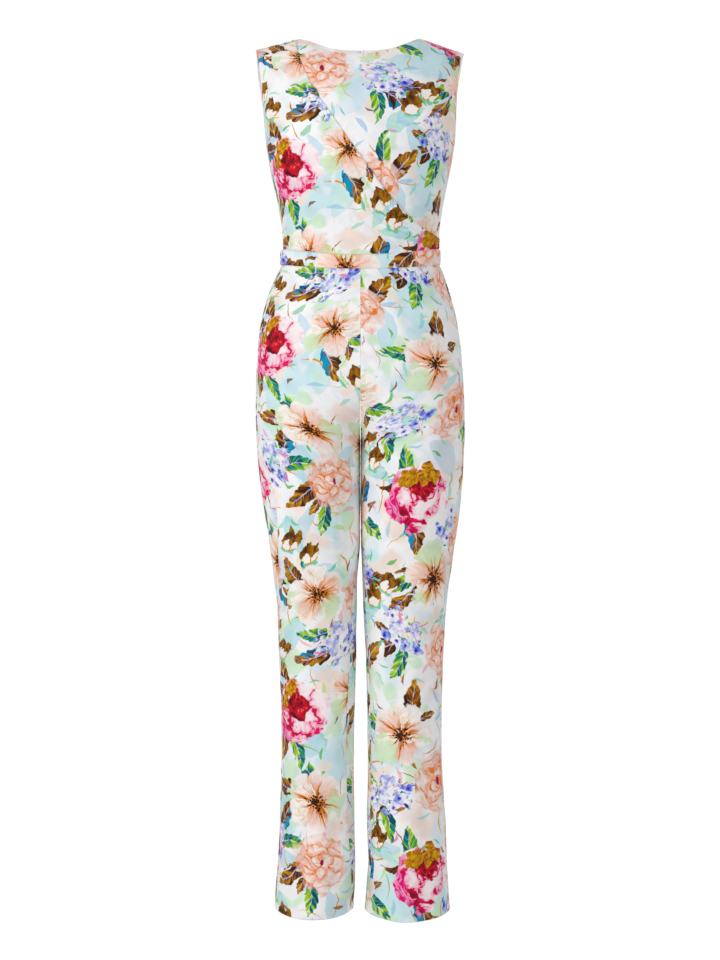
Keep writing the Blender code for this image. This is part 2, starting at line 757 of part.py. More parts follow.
def make_pull():
    """The tab hangs from the bridge on its own top bar, which is the hinge."""
    frame = zip_frame()
    axis_height = SLIDER_STAND + SLIDER_WALL + (BRIDGE_HEIGHT - BRIDGE_WALL) * 0.56
    pivot = frame @ Vector((0, axis_height, 0))
    half, bar, eye = PULL_WIDTH / 2, PULL_WALL, PULL_EYE / 2
    outline = [(-half, bar / 2), (half, bar / 2), (half, -0.0040), (half * 0.55, -0.0075)]
    tip = half * 0.95
    for k in range(9):
        turn = math.pi * k / 8
        outline.append((tip * math.cos(turn), -(PULL_LENGTH - tip) - tip * math.sin(turn)))
    outline += [(-half * 0.55, -0.0075), (-half, -0.0040)]
    window = [(-eye, -bar / 2), (eye, -bar / 2), (eye, -0.0044), (-eye, -0.0044)]
    curve = bpy.data.curves.new("zip_pull", "CURVE")
    curve.dimensions = "2D"
    curve.fill_mode = "BOTH"
    curve.extrude = PULL_WALL / 2
    for points in (outline, window):
        spline = curve.splines.new("POLY")
        spline.points.add(len(points) - 1)
        for point, (x, y) in zip(spline.points, points):
            point.co = (x, y, 0, 1)
        spline.use_cyclic_u = True
    pull = bpy.data.objects.new("zip_pull", curve)
    bpy.context.scene.collection.objects.link(pull)
    stand_up = Matrix.Rotation(math.radians(90 + PULL_TILT), 4, "X")
    pull.matrix_world = Matrix.Translation(pivot) @ stand_up
    finish_object(pull, "zip_pull", "metal")
    return pivot


def wire_piece(name, points, cyclic=False):
    curve = bpy.data.curves.new(name, "CURVE")
    curve.dimensions = "3D"
    curve.bevel_depth = WIRE
    curve.bevel_resolution = 2
    curve.use_fill_caps = not cyclic
    spline = curve.splines.new("POLY")
    spline.points.add(len(points) - 1)
    for point, place in zip(spline.points, points):
        point.co = (*place, 1)
    spline.use_cyclic_u = cyclic
    made = bpy.data.objects.new(name, curve)
    bpy.context.scene.collection.objects.link(made)
    finish_object(made, name, "metal")


def make_hook_and_eye():
    """Bent wire inside the top of the back neck, the hook on the right half, the eye on the left."""
    down = NECK_DROP_BACK + 0.0022
    y = min(back_depth(0.008, down), back_depth(0.0, down - 0.0020)) - CLOTH - 0.0014
    hook = []
    for k in range(9):
        turn = math.pi * (k / 8 - 0.5)
        hook.append((0.0004 + 0.0011 * math.cos(turn), y - 0.0011, -down + 0.0011 * math.sin(turn)))
    tail = [(-0.0060, y - 0.0011, -down - 0.0011), (-0.0030, y - 0.0011, -down - 0.0011)]
    wire_piece("neck_hook", tail + hook + [(-0.0024, y - 0.0011, -down + 0.0011)])
    ring = []
    for k in range(14):
        turn = 2 * math.pi * k / 14
        ring.append((0.0052 + 0.0018 * math.cos(turn), y - 0.0011, -down + 0.0018 * math.sin(turn)))
    wire_piece("neck_eye", ring, cyclic=True)


# Making objects


def material(kind):
    found = bpy.data.materials.get(kind)
    if found:
        return found
    made = bpy.data.materials.new(kind)
    made.use_nodes = True
    shader = made.node_tree.nodes["Principled BSDF"]
    red, green, blue, metallic, roughness = COLOURS[kind]
    shader.inputs["Base Color"].default_value = (red, green, blue, 1)
    shader.inputs["Metallic"].default_value = metallic
    shader.inputs["Roughness"].default_value = roughness
    return made


def collection(name):
    found = bpy.data.collections.get(name)
    if not found:
        found = bpy.data.collections.new(name)
        bpy.context.scene.collection.children.link(found)
    return found


def move_to(made, group):
    for old in list(made.users_collection):
        old.objects.unlink(made)
    collection(group).objects.link(made)


def hide_helper(made):
    made.hide_render = True
    made.display_type = "WIRE"
    move_to(made, "helpers")


def finish_object(made, name, kind):
    made.name = name
    made.data.name = name
    made.data.materials.clear()
    own = material(kind).copy()
    own.name = name
    made.data.materials.append(own)
    made.parent = bpy.data.objects["jumpsuit_origin"]
    move_to(made, "jumpsuit")


def inward(grid, i, j, known=None):
    """The direction into the cloth at a point of the grid, and how far to go for a full wall.

    Along a seam it stays in the seam's plane, so that the walls of both pieces meet evenly.
    """
    point = grid[i][j]
    if known:
        normal = known
    else:
        along = grid[i][min(j + 1, len(grid[i]) - 1)] - grid[i][max(j - 1, 0)]
        up = grid[min(i + 1, len(grid) - 1)][j] - grid[max(i - 1, 0)][j]
        normal = up.cross(along).normalized()
    flat = normal.copy()
    on_border = i in (0, len(grid) - 1) or j in (0, len(grid[i]) - 1)
    if on_border and abs(point.y) <= SEAM_GAP and -point.z < CROTCH - 0.1:
        flat.y = 0
    if on_border and abs(point.x) <= SEAM_GAP and -point.z < CROTCH - 1e-4:
        flat.x = 0
    if i in (0, len(grid) - 1) and WAIST_SEAMS[0] < -point.z < WAIST_SEAMS[1]:
        flat.z = 0
    flat.normalize()
    return flat, 1 / max(0.75, flat.dot(normal))


def cloth_panel(name, grid, wall, kind="cloth", inwards=None):
    """A loft through the rows of the grid, lowest first, closed by its own wall."""
    tall, width = len(grid), len(grid[0])
    outer, inner = [], []
    for i in range(tall):
        for j in range(width):
            flat, reach = inward(grid, i, j, inwards[i][j] if inwards else None)
            outer.append(grid[i][j])
            inner.append(grid[i][j] + flat * wall * reach)
    count = tall * width
    faces = []
    for i in range(tall - 1):
        for j in range(width - 1):
            a = i * width + j
            b, c, d = a + 1, a + width + 1, a + width
            if (outer[a] - outer[c]).length <= (outer[b] - outer[d]).length:
                halves = (a, b, c), (a, c, d)
            else:
                halves = (a, b, d), (b, c, d)
            for half in halves:
                faces.append(half)
                faces.append(tuple(corner + count for corner in half[::-1]))
    border = [j for j in range(width)] + [i * width + width - 1 for i in range(1, tall)]
    border += [(tall - 1) * width + j for j in range(width - 2, -1, -1)]
    border += [i * width for i in range(tall - 2, 0, -1)]
    for a, b in zip(border, border[1:] + border[:1]):
        faces.append((b, a, a + count, b + count))
    mesh = bpy.data.meshes.new(name)
    mesh.from_pydata(outer + inner, [], faces)
    mesh.shade_smooth()
    made = bpy.data.objects.new(name, mesh)
    bpy.context.scene.collection.objects.link(made)
    finish_object(made, name, kind)
    return made


def main():
    for old in list(bpy.data.objects):
        bpy.data.objects.remove(old)
    origin = bpy.data.objects.new("jumpsuit_origin", None)
    collection("jumpsuit").objects.link(origin)
    make_wrap()
    make_under()
    columns = spread_columns(-1, 1, FRONT_COLUMNS)
    make_band("waistband_front", "front", columns)
    half = spread_columns(SEAM_GAP / 2 / BAND["left"], 1, HALF_BACK_COLUMNS)
    make_band("waistband_back_left", "back", half[::-1])
    make_band("waistband_back_right", "back", [-across for across in half])
    for side in ("left", "right"):
        make_back(side)
        make_leg(side, "front")
        make_leg(side, "back")
    make_tape()
    make_slider()
    make_pull()
    make_hook_and_eye()


main()
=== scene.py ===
import math

import bpy
import numpy as np
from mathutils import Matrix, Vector


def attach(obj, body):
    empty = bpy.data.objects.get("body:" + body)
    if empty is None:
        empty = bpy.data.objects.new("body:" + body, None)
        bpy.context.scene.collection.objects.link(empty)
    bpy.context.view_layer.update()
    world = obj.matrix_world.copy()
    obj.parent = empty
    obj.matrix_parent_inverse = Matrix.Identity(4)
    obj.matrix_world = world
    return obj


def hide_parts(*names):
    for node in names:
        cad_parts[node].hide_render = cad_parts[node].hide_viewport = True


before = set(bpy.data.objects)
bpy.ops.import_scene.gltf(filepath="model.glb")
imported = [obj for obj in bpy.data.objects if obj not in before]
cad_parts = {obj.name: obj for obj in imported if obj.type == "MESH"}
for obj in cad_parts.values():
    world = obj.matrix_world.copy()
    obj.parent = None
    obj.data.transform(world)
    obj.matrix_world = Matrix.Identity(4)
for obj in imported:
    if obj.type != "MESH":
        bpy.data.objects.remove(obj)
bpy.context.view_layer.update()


# Shader maths

class Socket:
    tree = None  # where new nodes go

    def __init__(self, out):
        self.out = out

    @classmethod
    def node(cls, kind, settings=None, inputs=None, output=0):
        made = cls.tree.nodes.new("ShaderNode" + kind)
        for name, value in (settings or {}).items():
            setattr(made, name, value)
        for name, value in (inputs or {}).items():
            if isinstance(value, Socket):
                cls.tree.links.new(value.out, made.inputs[name])
            else:
                made.inputs[name].default_value = value
        return made if output is None else cls(made.outputs[output])

    def maths(self, operation, *others):
        values = {i: value for i, value in enumerate((self, *others))}
        return Socket.node("Math", {"operation": operation}, values)

    def __add__(self, other):
        return self.maths("ADD", other)

    def __sub__(self, other):
        return self.maths("SUBTRACT", other)

    def __rsub__(self, other):
        return Socket.node("Math", {"operation": "SUBTRACT"}, {0: other, 1: self})

    def __mul__(self, other):
        return self.maths("MULTIPLY", other)

    def __truediv__(self, other):
        return self.maths("DIVIDE", other)

    def __pow__(self, other):
        return self.maths("POWER", other)

    def __lt__(self, other):
        return self.maths("LESS_THAN", other)

    def __gt__(self, other):
        return self.maths("GREATER_THAN", other)

    def __abs__(self):
        return self.maths("ABSOLUTE")

    __radd__ = __add__
    __rmul__ = __mul__


def ink(red, green, blue):
    def linear(value):
        value /= 255
        return value / 12.92 if value <= 0.04045 else ((value + 0.055) / 1.055) ** 2.4
    return (linear(red), linear(green), linear(blue), 1)


def smooth(value, low, high):
    ends = {"Value": value, "From Min": low, "From Max": high}
    return Socket.node("MapRange", {"interpolation_type": "SMOOTHSTEP"}, ends)


def mix(under, over, share):
    inputs = {0: share, 6: under, 7: over}
    return Socket.node("Mix", {"data_type": "RGBA", "clamp_factor": True}, inputs, 2)


def vector(operation, *values, output=0, **named):
    inputs = {i: value for i, value in enumerate(values)}
    return Socket.node("VectorMath", {"operation": operation}, {**inputs, **named}, output)


def lengthOf(place):
    return vector("LENGTH", place, output=1)


def flatten(place):
    return vector("MULTIPLY", place, (1, 1, 0))


def split(place, kind="SeparateXYZ"):
    parts = Socket.node(kind, None, {0: place}, None)
    return [Socket(parts.outputs[i]) for i in range(3)]


def join(x, y, z=0.0):
    return Socket.node("CombineXYZ", None, {0: x, 1: y, 2: z})


def spin(place, angle, centre=(0, 0, 0)):
    inputs = {"Vector": place, "Center": centre, "Angle": angle}
    return Socket.node("VectorRotate", {"rotation_type": "Z_AXIS"}, inputs)


def noise(place, scale, detail=1.0, rough=0.5, dimensions="2D", output=0):
    inputs = {"Vector": place, "Scale": scale, "Detail": detail, "Roughness": rough}
    return Socket.node("TexNoise", {"noise_dimensions": dimensions}, inputs, output)


def cells(place, scale, randomness):
    inputs = {"Vector": place, "Scale": scale, "Randomness": randomness}
    found = Socket.node("TexVoronoi", {"voronoi_dimensions": "2D"}, inputs, None)
    return [Socket(found.outputs[name]) for name in ("Distance", "Color", "Position")]


def ramp(value, *stops, steps=False):
    # A stop is its place, then red, green and blue.
    made = Socket.node("ValToRGB", None, {0: value}, None)
    made.color_ramp.interpolation = "CONSTANT" if steps else "LINEAR"
    while len(made.color_ramp.elements) < len(stops):
        made.color_ramp.elements.new(1.0)
    for element, (place, *colour) in zip(made.color_ramp.elements, stops):
        element.position = place
        element.color = ink(*colour)
    return Socket(made.outputs[0])


def fraction(value):
    return value.maths("FRACT")


def bump(height, strength, distance):
    return Socket.node("Bump", None, {"Strength": strength, "Distance": distance, "Height": height})


def ownPlace():
    return Socket.node("TexCoord", None, None, 3)  # the object's own coordinates


# The print. It repeats every tile, in metres. A motif is a place, a half length and a half width,
# a turn in degrees and a variant from 0 to 1.

tile = (0.42, 0.64)
variantShare = 0.2  # of the variant, in the third of a motif's own coordinates
farOff = (9.0, 9.0, 0.0)  # a motif's own coordinates where it isn't
drift = {"scale": 42.0, "detail": 3.0, "rough": 0.55, "reach": 0.0095}  # of every painted edge
richness = 1.34  # saturation of all the inks

blossoms = [
    (0.080, 0.070, 0.060, 0.060, 10, 0.15),
    (0.176, 0.108, 0.054, 0.054, 50, 0.70),
    (0.352, 0.208, 0.063, 0.063, -20, 0.42),
    (0.070, 0.360, 0.058, 0.058, 35, 0.90),
    (0.280, 0.470, 0.061, 0.061, 0, 0.30),
    (0.150, 0.530, 0.054, 0.054, 70, 0.62),
]
peonyFrom = 0.5  # the rosettes' variant
rosettes = [
    (0.318, 0.070, 0.064, 0.067, 12, 0.80),
    (0.086, 0.172, 0.060, 0.056, 40, 0.10),
    (0.170, 0.370, 0.057, 0.061, -60, 0.35),
    (0.372, 0.330, 0.058, 0.055, 100, 0.20),
    (0.048, 0.560, 0.063, 0.067, -24, 0.95),
    (0.350, 0.550, 0.060, 0.063, 20, 0.28),
]
clusters = [
    (0.190, 0.190, 0.054, 0.042, 20, 0.20),
    (0.400, 0.130, 0.052, 0.046, 70, 0.50),
    (0.120, 0.440, 0.052, 0.042, -30, 0.80),
    (0.290, 0.300, 0.050, 0.040, 60, 0.10),
    (0.256, 0.570, 0.054, 0.044, -15, 0.35),
]
# Leaves grow in sprays from under a flower. A spray is the flower, its reach, and for each leaf the
# way out in degrees, the half length, how far it leans off that way, and the variant.
leafKinds = {"tealEdged": 0.20, "brown": 0.45, "green": 0.85}  # variants up to this, over it pale
leafForm = {"hidden": 0.80, "out": 0.58, "brown": 0.70, "green": 0.66}
sprays = [
    (blossoms[0], 0.060, (-160, 0.034, -14, 0.30), (-108, 0.030, -14, 0.60)),
    (blossoms[1], 0.054, (-62, 0.035, -14, 0.12), (-22, 0.016, -14, 0.40), (18, 0.031, 14, 0.55)),
    (rosettes[1], 0.058, (158, 0.035, -14, 0.36), (108, 0.031, -14, 0.66), (132, 0.016, -14, 0.42)),
    (clusters[0], 0.047, (62, 0.036, -14, 0.08), (22, 0.033, -14, 0.24), (102, 0.029, -14, 0.70)),
    (rosettes[0], 0.062, (-158, 0.037, -14, 0.40), (-114, 0.031, 14, 0.58), (92, 0.035, -14, 0.18)),
    (blossoms[2], 0.062, (152, 0.034, -14, 0.34), (192, 0.017, -14, 0.38), (172, 0.029, -14, 0.72)),
    (clusters[1], 0.046, (-42, 0.034, -14, 0.10), (10, 0.029, -14, 0.52)),
    (rosettes[3], 0.056, (32, 0.035, 14, 0.15), (82, 0.030, -14, 0.62)),
    (clusters[3], 0.044, (152, 0.036, 14, 0.28), (104, 0.031, 14, 0.56), (-164, 0.017, 14, 0.33)),
    (blossoms[3], 0.057, (-144, 0.032, 14, 0.43), (-178, 0.017, 14, 0.33), (-110, 0.031, 14, 0.77)),
    (rosettes[2], 0.056, (-32, 0.034, -14, 0.22), (-72, 0.031, -14, 0.54)),
    (clusters[2], 0.045, (152, 0.036, 14, 0.05), (192, 0.029, -14, 0.60)),
    (rosettes[4], 0.064, (-120, 0.036, 14, 0.31), (122, 0.034, -14, 0.44), (90, 0.030, -14, 0.68)),
    (blossoms[5], 0.054, (82, 0.034, -14, 0.16), (50, 0.017, 14, 0.39), (20, 0.029, -14, 0.50)),
    (blossoms[4], 0.060, (-72, 0.034, -14, 0.26), (-32, 0.017, 14, 0.35), (-162, 0.031, -14, 0.64)),
    (rosettes[5], 0.058, (-18, 0.036, 14, 0.14), (42, 0.031, 14, 0.57)),
    (clusters[4], 0.047, (122, 0.034, 14, 0.37), (92, 0.030, -14, 0.74)),
]


def growLeaves():
    grown = []
    for (u, v, *_), reach, *spray in sprays:
        for way, long, lean, variant in spray:
            angle = math.radians(way)
            out = reach * leafForm["hidden"] + long * leafForm["out"]
            across = round((u + out * math.cos(angle)) % tile[0], 3)
            down = round((v + out * math.sin(angle)) % tile[1], 3)
            kind = "green" if variant > leafKinds["brown"] else "brown"
            wide = round(long * leafForm[kind], 3)
            grown.append((across, down, long, wide, way + lean, variant))
    return grown


leaves = growLeaves() + [  # and pale ones behind the cups
    (0.234, 0.028, 0.040, 0.023, 20, 0.90),
    (0.404, 0.440, 0.040, 0.022, 70, 0.94),
    (0.226, 0.262, 0.040, 0.023, -30, 0.96),
    (0.016, 0.262, 0.038, 0.022, 60, 0.92),
    (0.204, 0.630, 0.038, 0.023, 110, 0.98),
]
cups = [
    (0.236, 0.236, 0.025, 0.026, -10, 0.2),
    (0.270, 0.214, 0.024, 0.025, 24, 0.7),
    (0.012, 0.268, 0.025, 0.027, 14, 0.9),
    (0.048, 0.290, 0.023, 0.025, -16, 0.6),
    (0.204, 0.612, 0.025, 0.027, -22, 0.3),
    (0.230, 0.004, 0.024, 0.026, 12, 0.5),
    (0.404, 0.420, 0.025, 0.026, -14, 0.1),
    (0.010, 0.456, 0.024, 0.025, 18, 0.8),
]


def nearest(place, wrapped, motifs):
    # The motif's own coordinates where one covers the place, and far off where none does.
    found = join(*farOff)
    for u, v, long, wide, turn, variant in motifs:
        reach = max(long, wide)
        source = wrapped
        if not (reach < u < tile[0] - reach and reach < v < tile[1] - reach):
            # It lies across the tile's edge, so the tile is wrapped round it instead.
            high = (u + tile[0] / 2, v + tile[1] / 2, 0)
            low = (u - tile[0] / 2, v - tile[1] / 2, 0)
            source = vector("WRAP", place, high, low)
        spun = spin(source, -math.radians(turn), (u, v, 0))
        middle = (-u / long, -v / wide, variantShare * variant)
        own = vector("MULTIPLY_ADD", spun, (1 / long, 1 / wide, 0), middle)
        covers = lengthOf(own) < 1.0
        found = Socket.node("Mix", {"data_type": "VECTOR"}, {0: covers, 4: found, 5: own}, 1)
    return found


def polar(x, y):
    return (x * x + y * y).maths("SQRT"), y.maths("ARCTAN2", x)


def variantOf(seed):
    return seed * (1 / variantShare)


def shifted(variant):
    # Other noise for each motif.
    return join(variant * 37.0, variant * 11.0)


def brush(own, scale, shift, detail=2.0, rough=0.6):
    return noise(vector("MULTIPLY_ADD", own, (scale, scale, 0), shift), 1.0, detail, rough)


# Loose strokes, at most one to a cell, each turned its own way: cells to a metre, half length, half
# width and bow in metres, how much they cover, their inks, and how far they are moved.
strokes = {
    "pale": {
        "density": 10.5, "half": 0.046, "wide": 0.024, "bow": 0.010, "strength": 0.6,
        "inks": [(0.0, 190, 224, 236), (0.35, 212, 238, 236), (0.5, 232, 242, 249),
                 (0.7, 200, 224, 240), (0.85, 210, 236, 206)],
    },
    "pastel": {
        "density": 22.0, "half": 0.016, "wide": 0.0050, "bow": 0.004, "strength": 0.7,
        "inks": [(0.0, 176, 222, 204), (0.22, 196, 228, 160), (0.42, 176, 214, 232),
                 (0.58, 248, 196, 206), (0.68, 150, 206, 170), (0.82, 184, 212, 240)],
        "moved": (0.02, 0.03, 0),
    },
    "stems": {
        "density": 19.0, "half": 0.027, "wide": 0.0019, "bow": 0.010, "strength": 0.9,
        "inks": [(0.0, 216, 160, 74), (0.35, 166, 192, 90), (0.5, 238, 170, 96),
                 (0.8, 172, 110, 52)],
        "moved": (0.21, 0.13, 0),
    },
    "buds": {
        "density": 27.0, "half": 0.0115, "wide": 0.0034, "bow": 0.003, "strength": 0.85,
        "inks": [(0.0, 122, 190, 116), (0.22, 168, 108, 52), (0.34, 242, 247, 250),
                 (0.60, 244, 166, 190), (0.70, 116, 72, 34), (0.80, 132, 208, 180)],
        "moved": (0.11, 0.07, 0),
    },
}


def paintStrokes(colour, place, density, half, wide, bow, strength, inks, moved=None):
    if moved:
        place = vector("ADD", place, moved)
    _, shade, centre = cells(place, density, 0.85)
    turn, pick, grow = split(shade, "SeparateColor")
    x, y, _ = split(spin(vector("SUBTRACT", place, centre), turn * 19.0))
    x = x / half
    shape = (1.0 - x * x) * wide * (0.2 + 0.8 * grow) - abs(y - x * x * bow)
    covers = smooth(shape, 0.0, 0.0007) * (grow > 0.35)
    return mix(colour, ramp(pick, *inks, steps=True), covers * strength)


def paintGround(place):
    wash = noise(place, 9.0, 3.0, 0.45)
    second = noise(vector("ADD", place, (3.1, 1.7, 0)), 12.0, 2.0, 0.5)
    colour = mix(ink(251, 251, 252), ink(228, 242, 247), smooth(wash, 0.50, 0.62) * 0.8)
    colour = mix(colour, ink(200, 234, 238), smooth(wash, 0.605, 0.625) * 0.45)
    colour = mix(colour, ink(214, 240, 208), smooth(second, 0.60, 0.67) * 0.7)
    return mix(colour, ink(254, 234, 222), smooth(second, 0.42, 0.34) * 0.7)


def paintClusters(colour, own):
    shift = join(split(own)[2] * 90.0, 3.0)
    grown = vector("SCALE", own, Scale=2.3)
    _, shade, centre = cells(grown, 1.0, 0.9)
    turn, pick, tone = split(shade, "SeparateColor")
    x, y, _ = split(vector("SUBTRACT", grown, centre))
    stroke = brush(own, 4.8, shift)
    large = brush(own, 1.3, shift, 1.0)
    r, angle = polar(x, y)
    lobes = abs((angle * 2.0 + turn * 6.0 + stroke * 3.0).maths("COSINE"))
    petal = 0.40 + 0.26 * lobes + (stroke - 0.5) * 0.5
    reach = lengthOf(flatten(centre)) + (large - 0.5) * 1.8
    within = smooth(reach, 1.95, 1.75)
    gaps = ramp(tone, (0.0, 150, 196, 140), (0.20, 134, 88, 44), (0.36, 120, 176, 96),
                (0.50, 206, 146, 72), (0.64, 104, 112, 206), (0.78, 66, 62, 112),
                (0.86, 70, 146, 120), steps=True)
    colour = mix(colour, gaps, smooth(0.70 - r, 0.0, 0.1) * within * smooth(stroke, 0.46, 0.53))
    base = ramp(stroke + (pick - 0.5) * 0.40, (0.32, 252, 251, 255), (0.48, 236, 233, 252),
                (0.58, 214, 215, 248), (0.68, 186, 192, 244), (0.84, 146, 156, 228))
    rims = smooth(petal - r, 0.08, 0.0) * smooth(stroke, 0.46, 0.56)
    base = mix(base, ink(134, 130, 214), rims * 0.6)
    base = mix(base, ink(104, 108, 198), smooth(r, 0.26, 0.06) * (tone > 0.72))
    base = mix(base, ink(236, 150, 62), smooth(r + stroke * 0.3, 0.27, 0.19) * (tone < 0.34))
    return mix(colour, base, smooth(petal - r, 0.0, 0.06) * within * 0.94)


def paintLeaves(colour, own):
    x, y, seed = split(own)
    variant = variantOf(seed)
    across = y - x * x * 0.16 + 0.06
    side = abs(across)
    bent = x * 1.5 - side * 1.4
    grain = noise(join(bent + variant * 40.0, across * 0.5 + variant * 17.0), 2.3, 2.0, 0.5)
    teeth = abs(fraction(x * 2.3 - side) - 0.5) * (0.26 - variant * 0.22)
    shape = (1.0 - x).maths("MAXIMUM", 0.0) ** 0.90 * (1.0 + x).maths("MAXIMUM", 0.0) ** 0.50
    edge = shape * 0.64 - teeth * smooth(x, -0.9, -0.2) - (grain - 0.5) * 0.24
    half = smooth(across + (grain - 0.5) * 0.5, -0.03, 0.05)
    flow = grain * 0.85 + x * 0.10 + side * 0.10 + half * 0.17 - 0.05
    earth = grain * 0.95 + x * 0.17 + half * 0.07 - 0.04
    brown = ramp(earth, (0.28, 56, 34, 24), (0.40, 102, 60, 30), (0.50, 150, 94, 38),
                 (0.60, 188, 130, 48), (0.74, 222, 182, 106))
    green = ramp(flow, (0.30, 16, 76, 98), (0.38, 24, 120, 130), (0.46, 84, 158, 110),
                 (0.55, 148, 186, 84), (0.66, 190, 214, 118), (0.78, 238, 247, 224))
    pale = ramp(grain, (0.34, 190, 226, 234), (0.50, 212, 236, 240), (0.66, 206, 238, 214))
    tone = mix(brown, green, variant > leafKinds["brown"])
    edged = smooth(across + (grain - 0.5) * 1.2 - x * 0.1, 0.20, 0.26)
    edged = edged * (variant < leafKinds["tealEdged"])
    tone = mix(tone, ramp(grain, (0.36, 6, 92, 142), (0.62, 34, 158, 200)), edged)
    veins = abs(fraction(x * 2.2 - side * 1.5 + 0.2) - 0.5)
    light = smooth(veins, 0.06, 0.0) * smooth(side, 0.50, 0.16) * smooth(earth, 0.62, 0.42)
    light = light.maths("MAXIMUM", smooth(side, 0.055, 0.01) * smooth(x, 0.75, 0.2))
    tone = mix(tone, ramp(grain, (0.40, 206, 206, 246), (0.52, 248, 240, 240)), light * 0.8)
    tone = mix(tone, pale, variant > leafKinds["green"])
    return mix(colour, tone, smooth(edge - side, 0.0, 0.05))


def paintCups(colour, own):
    x, y, seed = split(own)
    stroke = noise(join(x + seed * 90.0, y * 0.8), 2.6, 2.0, 0.6)
    wobble = stroke - 0.5
    x = x + wobble * 0.35 + y * 0.12
    bowl = 0.92 - (x * x * 1.9 + (y - 0.20) * (y - 0.20) * 2.2).maths("SQRT")
    points = abs(fraction(x * 1.15 + 0.5 + seed * 2.0) - 0.5) * 2.0
    sepal = smooth(0.24 + 0.6 * x * x - abs(y - 0.70), 0.0, 0.08) * smooth(0.60 - abs(x), 0.0, 0.1)
    colour = mix(colour, ink(140, 214, 184), sepal * 0.9)
    colour = mix(colour, ink(253, 249, 243), smooth(bowl, 0.0, 0.07))
    lines = abs(fraction(x * (1.9 - y * 0.8) + 0.3) - 0.5)
    lines = smooth(lines, 0.13, 0.04) * smooth(bowl, 0.0, 0.1)
    gold = smooth(abs(bowl - 0.06), 0.09, 0.02).maths("MAXIMUM", lines)
    colour = mix(colour, ink(216, 158, 92), gold * smooth(stroke, 0.40, 0.52))
    dark = ramp(stroke + x * 0.1, (0.34, 74, 42, 18), (0.48, 124, 78, 28), (0.62, 166, 114, 46))
    top = 0.84 - points * 0.40 - x * x * 0.6 + wobble * 0.4
    low = points * 0.34 - y + 0.06 + wobble * 0.7
    covers = smooth(top + y, 0.0, 0.06) * smooth(low, 0.0, 0.06) * smooth(0.74 - abs(x), 0.0, 0.06)
    return mix(colour, dark, covers)


def paintRosettes(colour, own):
    x, y, seed = split(own)
    variant = variantOf(seed)
    shift = shifted(variant)
    peony = variant > peonyFrom
    wave = brush(own, 1.8, shift) - 0.5
    fine = brush(own, 5.5, shift, 3.0)
    lift = y + 0.22 * peony
    r, angle = polar(x, lift)
    outer = lengthOf(flatten(own))
    # Petals are cells of a space that runs round the middle and outwards.
    way = vector("NORMALIZE", join(x, lift))
    ringed = vector("SCALE", way, Scale=(0.44 + r * 0.60 + wave * 0.5) * (1.0 - 0.20 * peony))
    deep = r * (3.1 - 1.5 * peony) + wave * 1.5
    ringed = vector("ADD", ringed, join(variant * 9.0, wave * 0.9, deep))
    inputs = {"Vector": ringed, "Scale": 1.0, "Randomness": 0.9}
    line = Socket.node("TexVoronoi", {"feature": "DISTANCE_TO_EDGE"}, inputs)
    edge = 0.86 + wave * 0.62 + (line - 0.2) * 0.16
    covers = smooth(edge - outer, 0.0, 0.05)
    streak = noise(join(angle * 2.2 + variant * 11.0, r * 7.0 + wave * 5.0), 1.5, 2.0, 0.55)
    # The rose: pale and loose, its petals outlined with broken coral strokes.
    rose = ramp(line + (fine - 0.5) * 0.7, (0.0, 250, 204, 190), (0.14, 253, 224, 214),
                (0.28, 254, 238, 232), (0.46, 255, 250, 248))
    stroke = smooth(line - (fine - 0.46) * 0.24, 0.05, 0.01)
    rose = mix(rose, ramp(fine, (0.46, 246, 178, 158), (0.62, 240, 146, 80)), stroke * 0.85)
    warm = smooth(streak, 0.62, 0.67) * smooth(outer, 0.75, 0.25)
    rose = mix(rose, ink(246, 164, 104), warm * 0.85)
    core = r + abs(x - lift) * 1.4 + (fine - 0.5) * 0.5
    rose = mix(rose, ink(150, 24, 84), smooth(core, 0.18, 0.10))
    # The peony: pale petals with crimson rims, a dark heart, an ochre cap, hot pink at one side.
    left = smooth(x * -0.8 + y * 0.40 + wave * 1.2, 0.42, 0.60)
    flame = line * 1.9 + (streak - 0.5) * 0.8 + (fine - 0.5) * 0.3 + 0.17
    flame = flame - smooth(y - x, 0.2, 0.9) * 0.14
    bloom = ramp(flame, (0.0, 140, 16, 40), (0.10, 206, 34, 64), (0.19, 238, 100, 136),
                 (0.28, 250, 190, 208), (0.44, 253, 228, 234), (0.62, 255, 245, 246))
    pink = ramp(streak, (0.36, 252, 196, 222), (0.54, 248, 146, 190), (0.68, 226, 56, 96))
    bloom = mix(bloom, pink, left * 0.9)
    heart = smooth(0.36 + wave * 0.6 - r, 0.0, 0.05)
    red = ramp(fine * 0.8 + streak * 0.5, (0.54, 92, 18, 30), (0.63, 176, 26, 44),
               (0.72, 214, 54, 66), (0.82, 236, 150, 150))
    bloom = mix(bloom, red, heart)
    cap = smooth(0.60 + wave * 0.8 - r, 0.0, 0.05) * smooth(wave * 1.1 - lift - x * 0.4, 0.12, 0.18)
    ochre = ramp(streak + fine * 0.5, (0.55, 126, 70, 26), (0.72, 190, 130, 52),
                 (0.90, 226, 184, 116))
    bloom = mix(bloom, ochre, cap)
    tone = mix(rose, bloom, peony)
    return mix(colour, tone, covers * smooth(outer - peony, 1.5, 0.3))


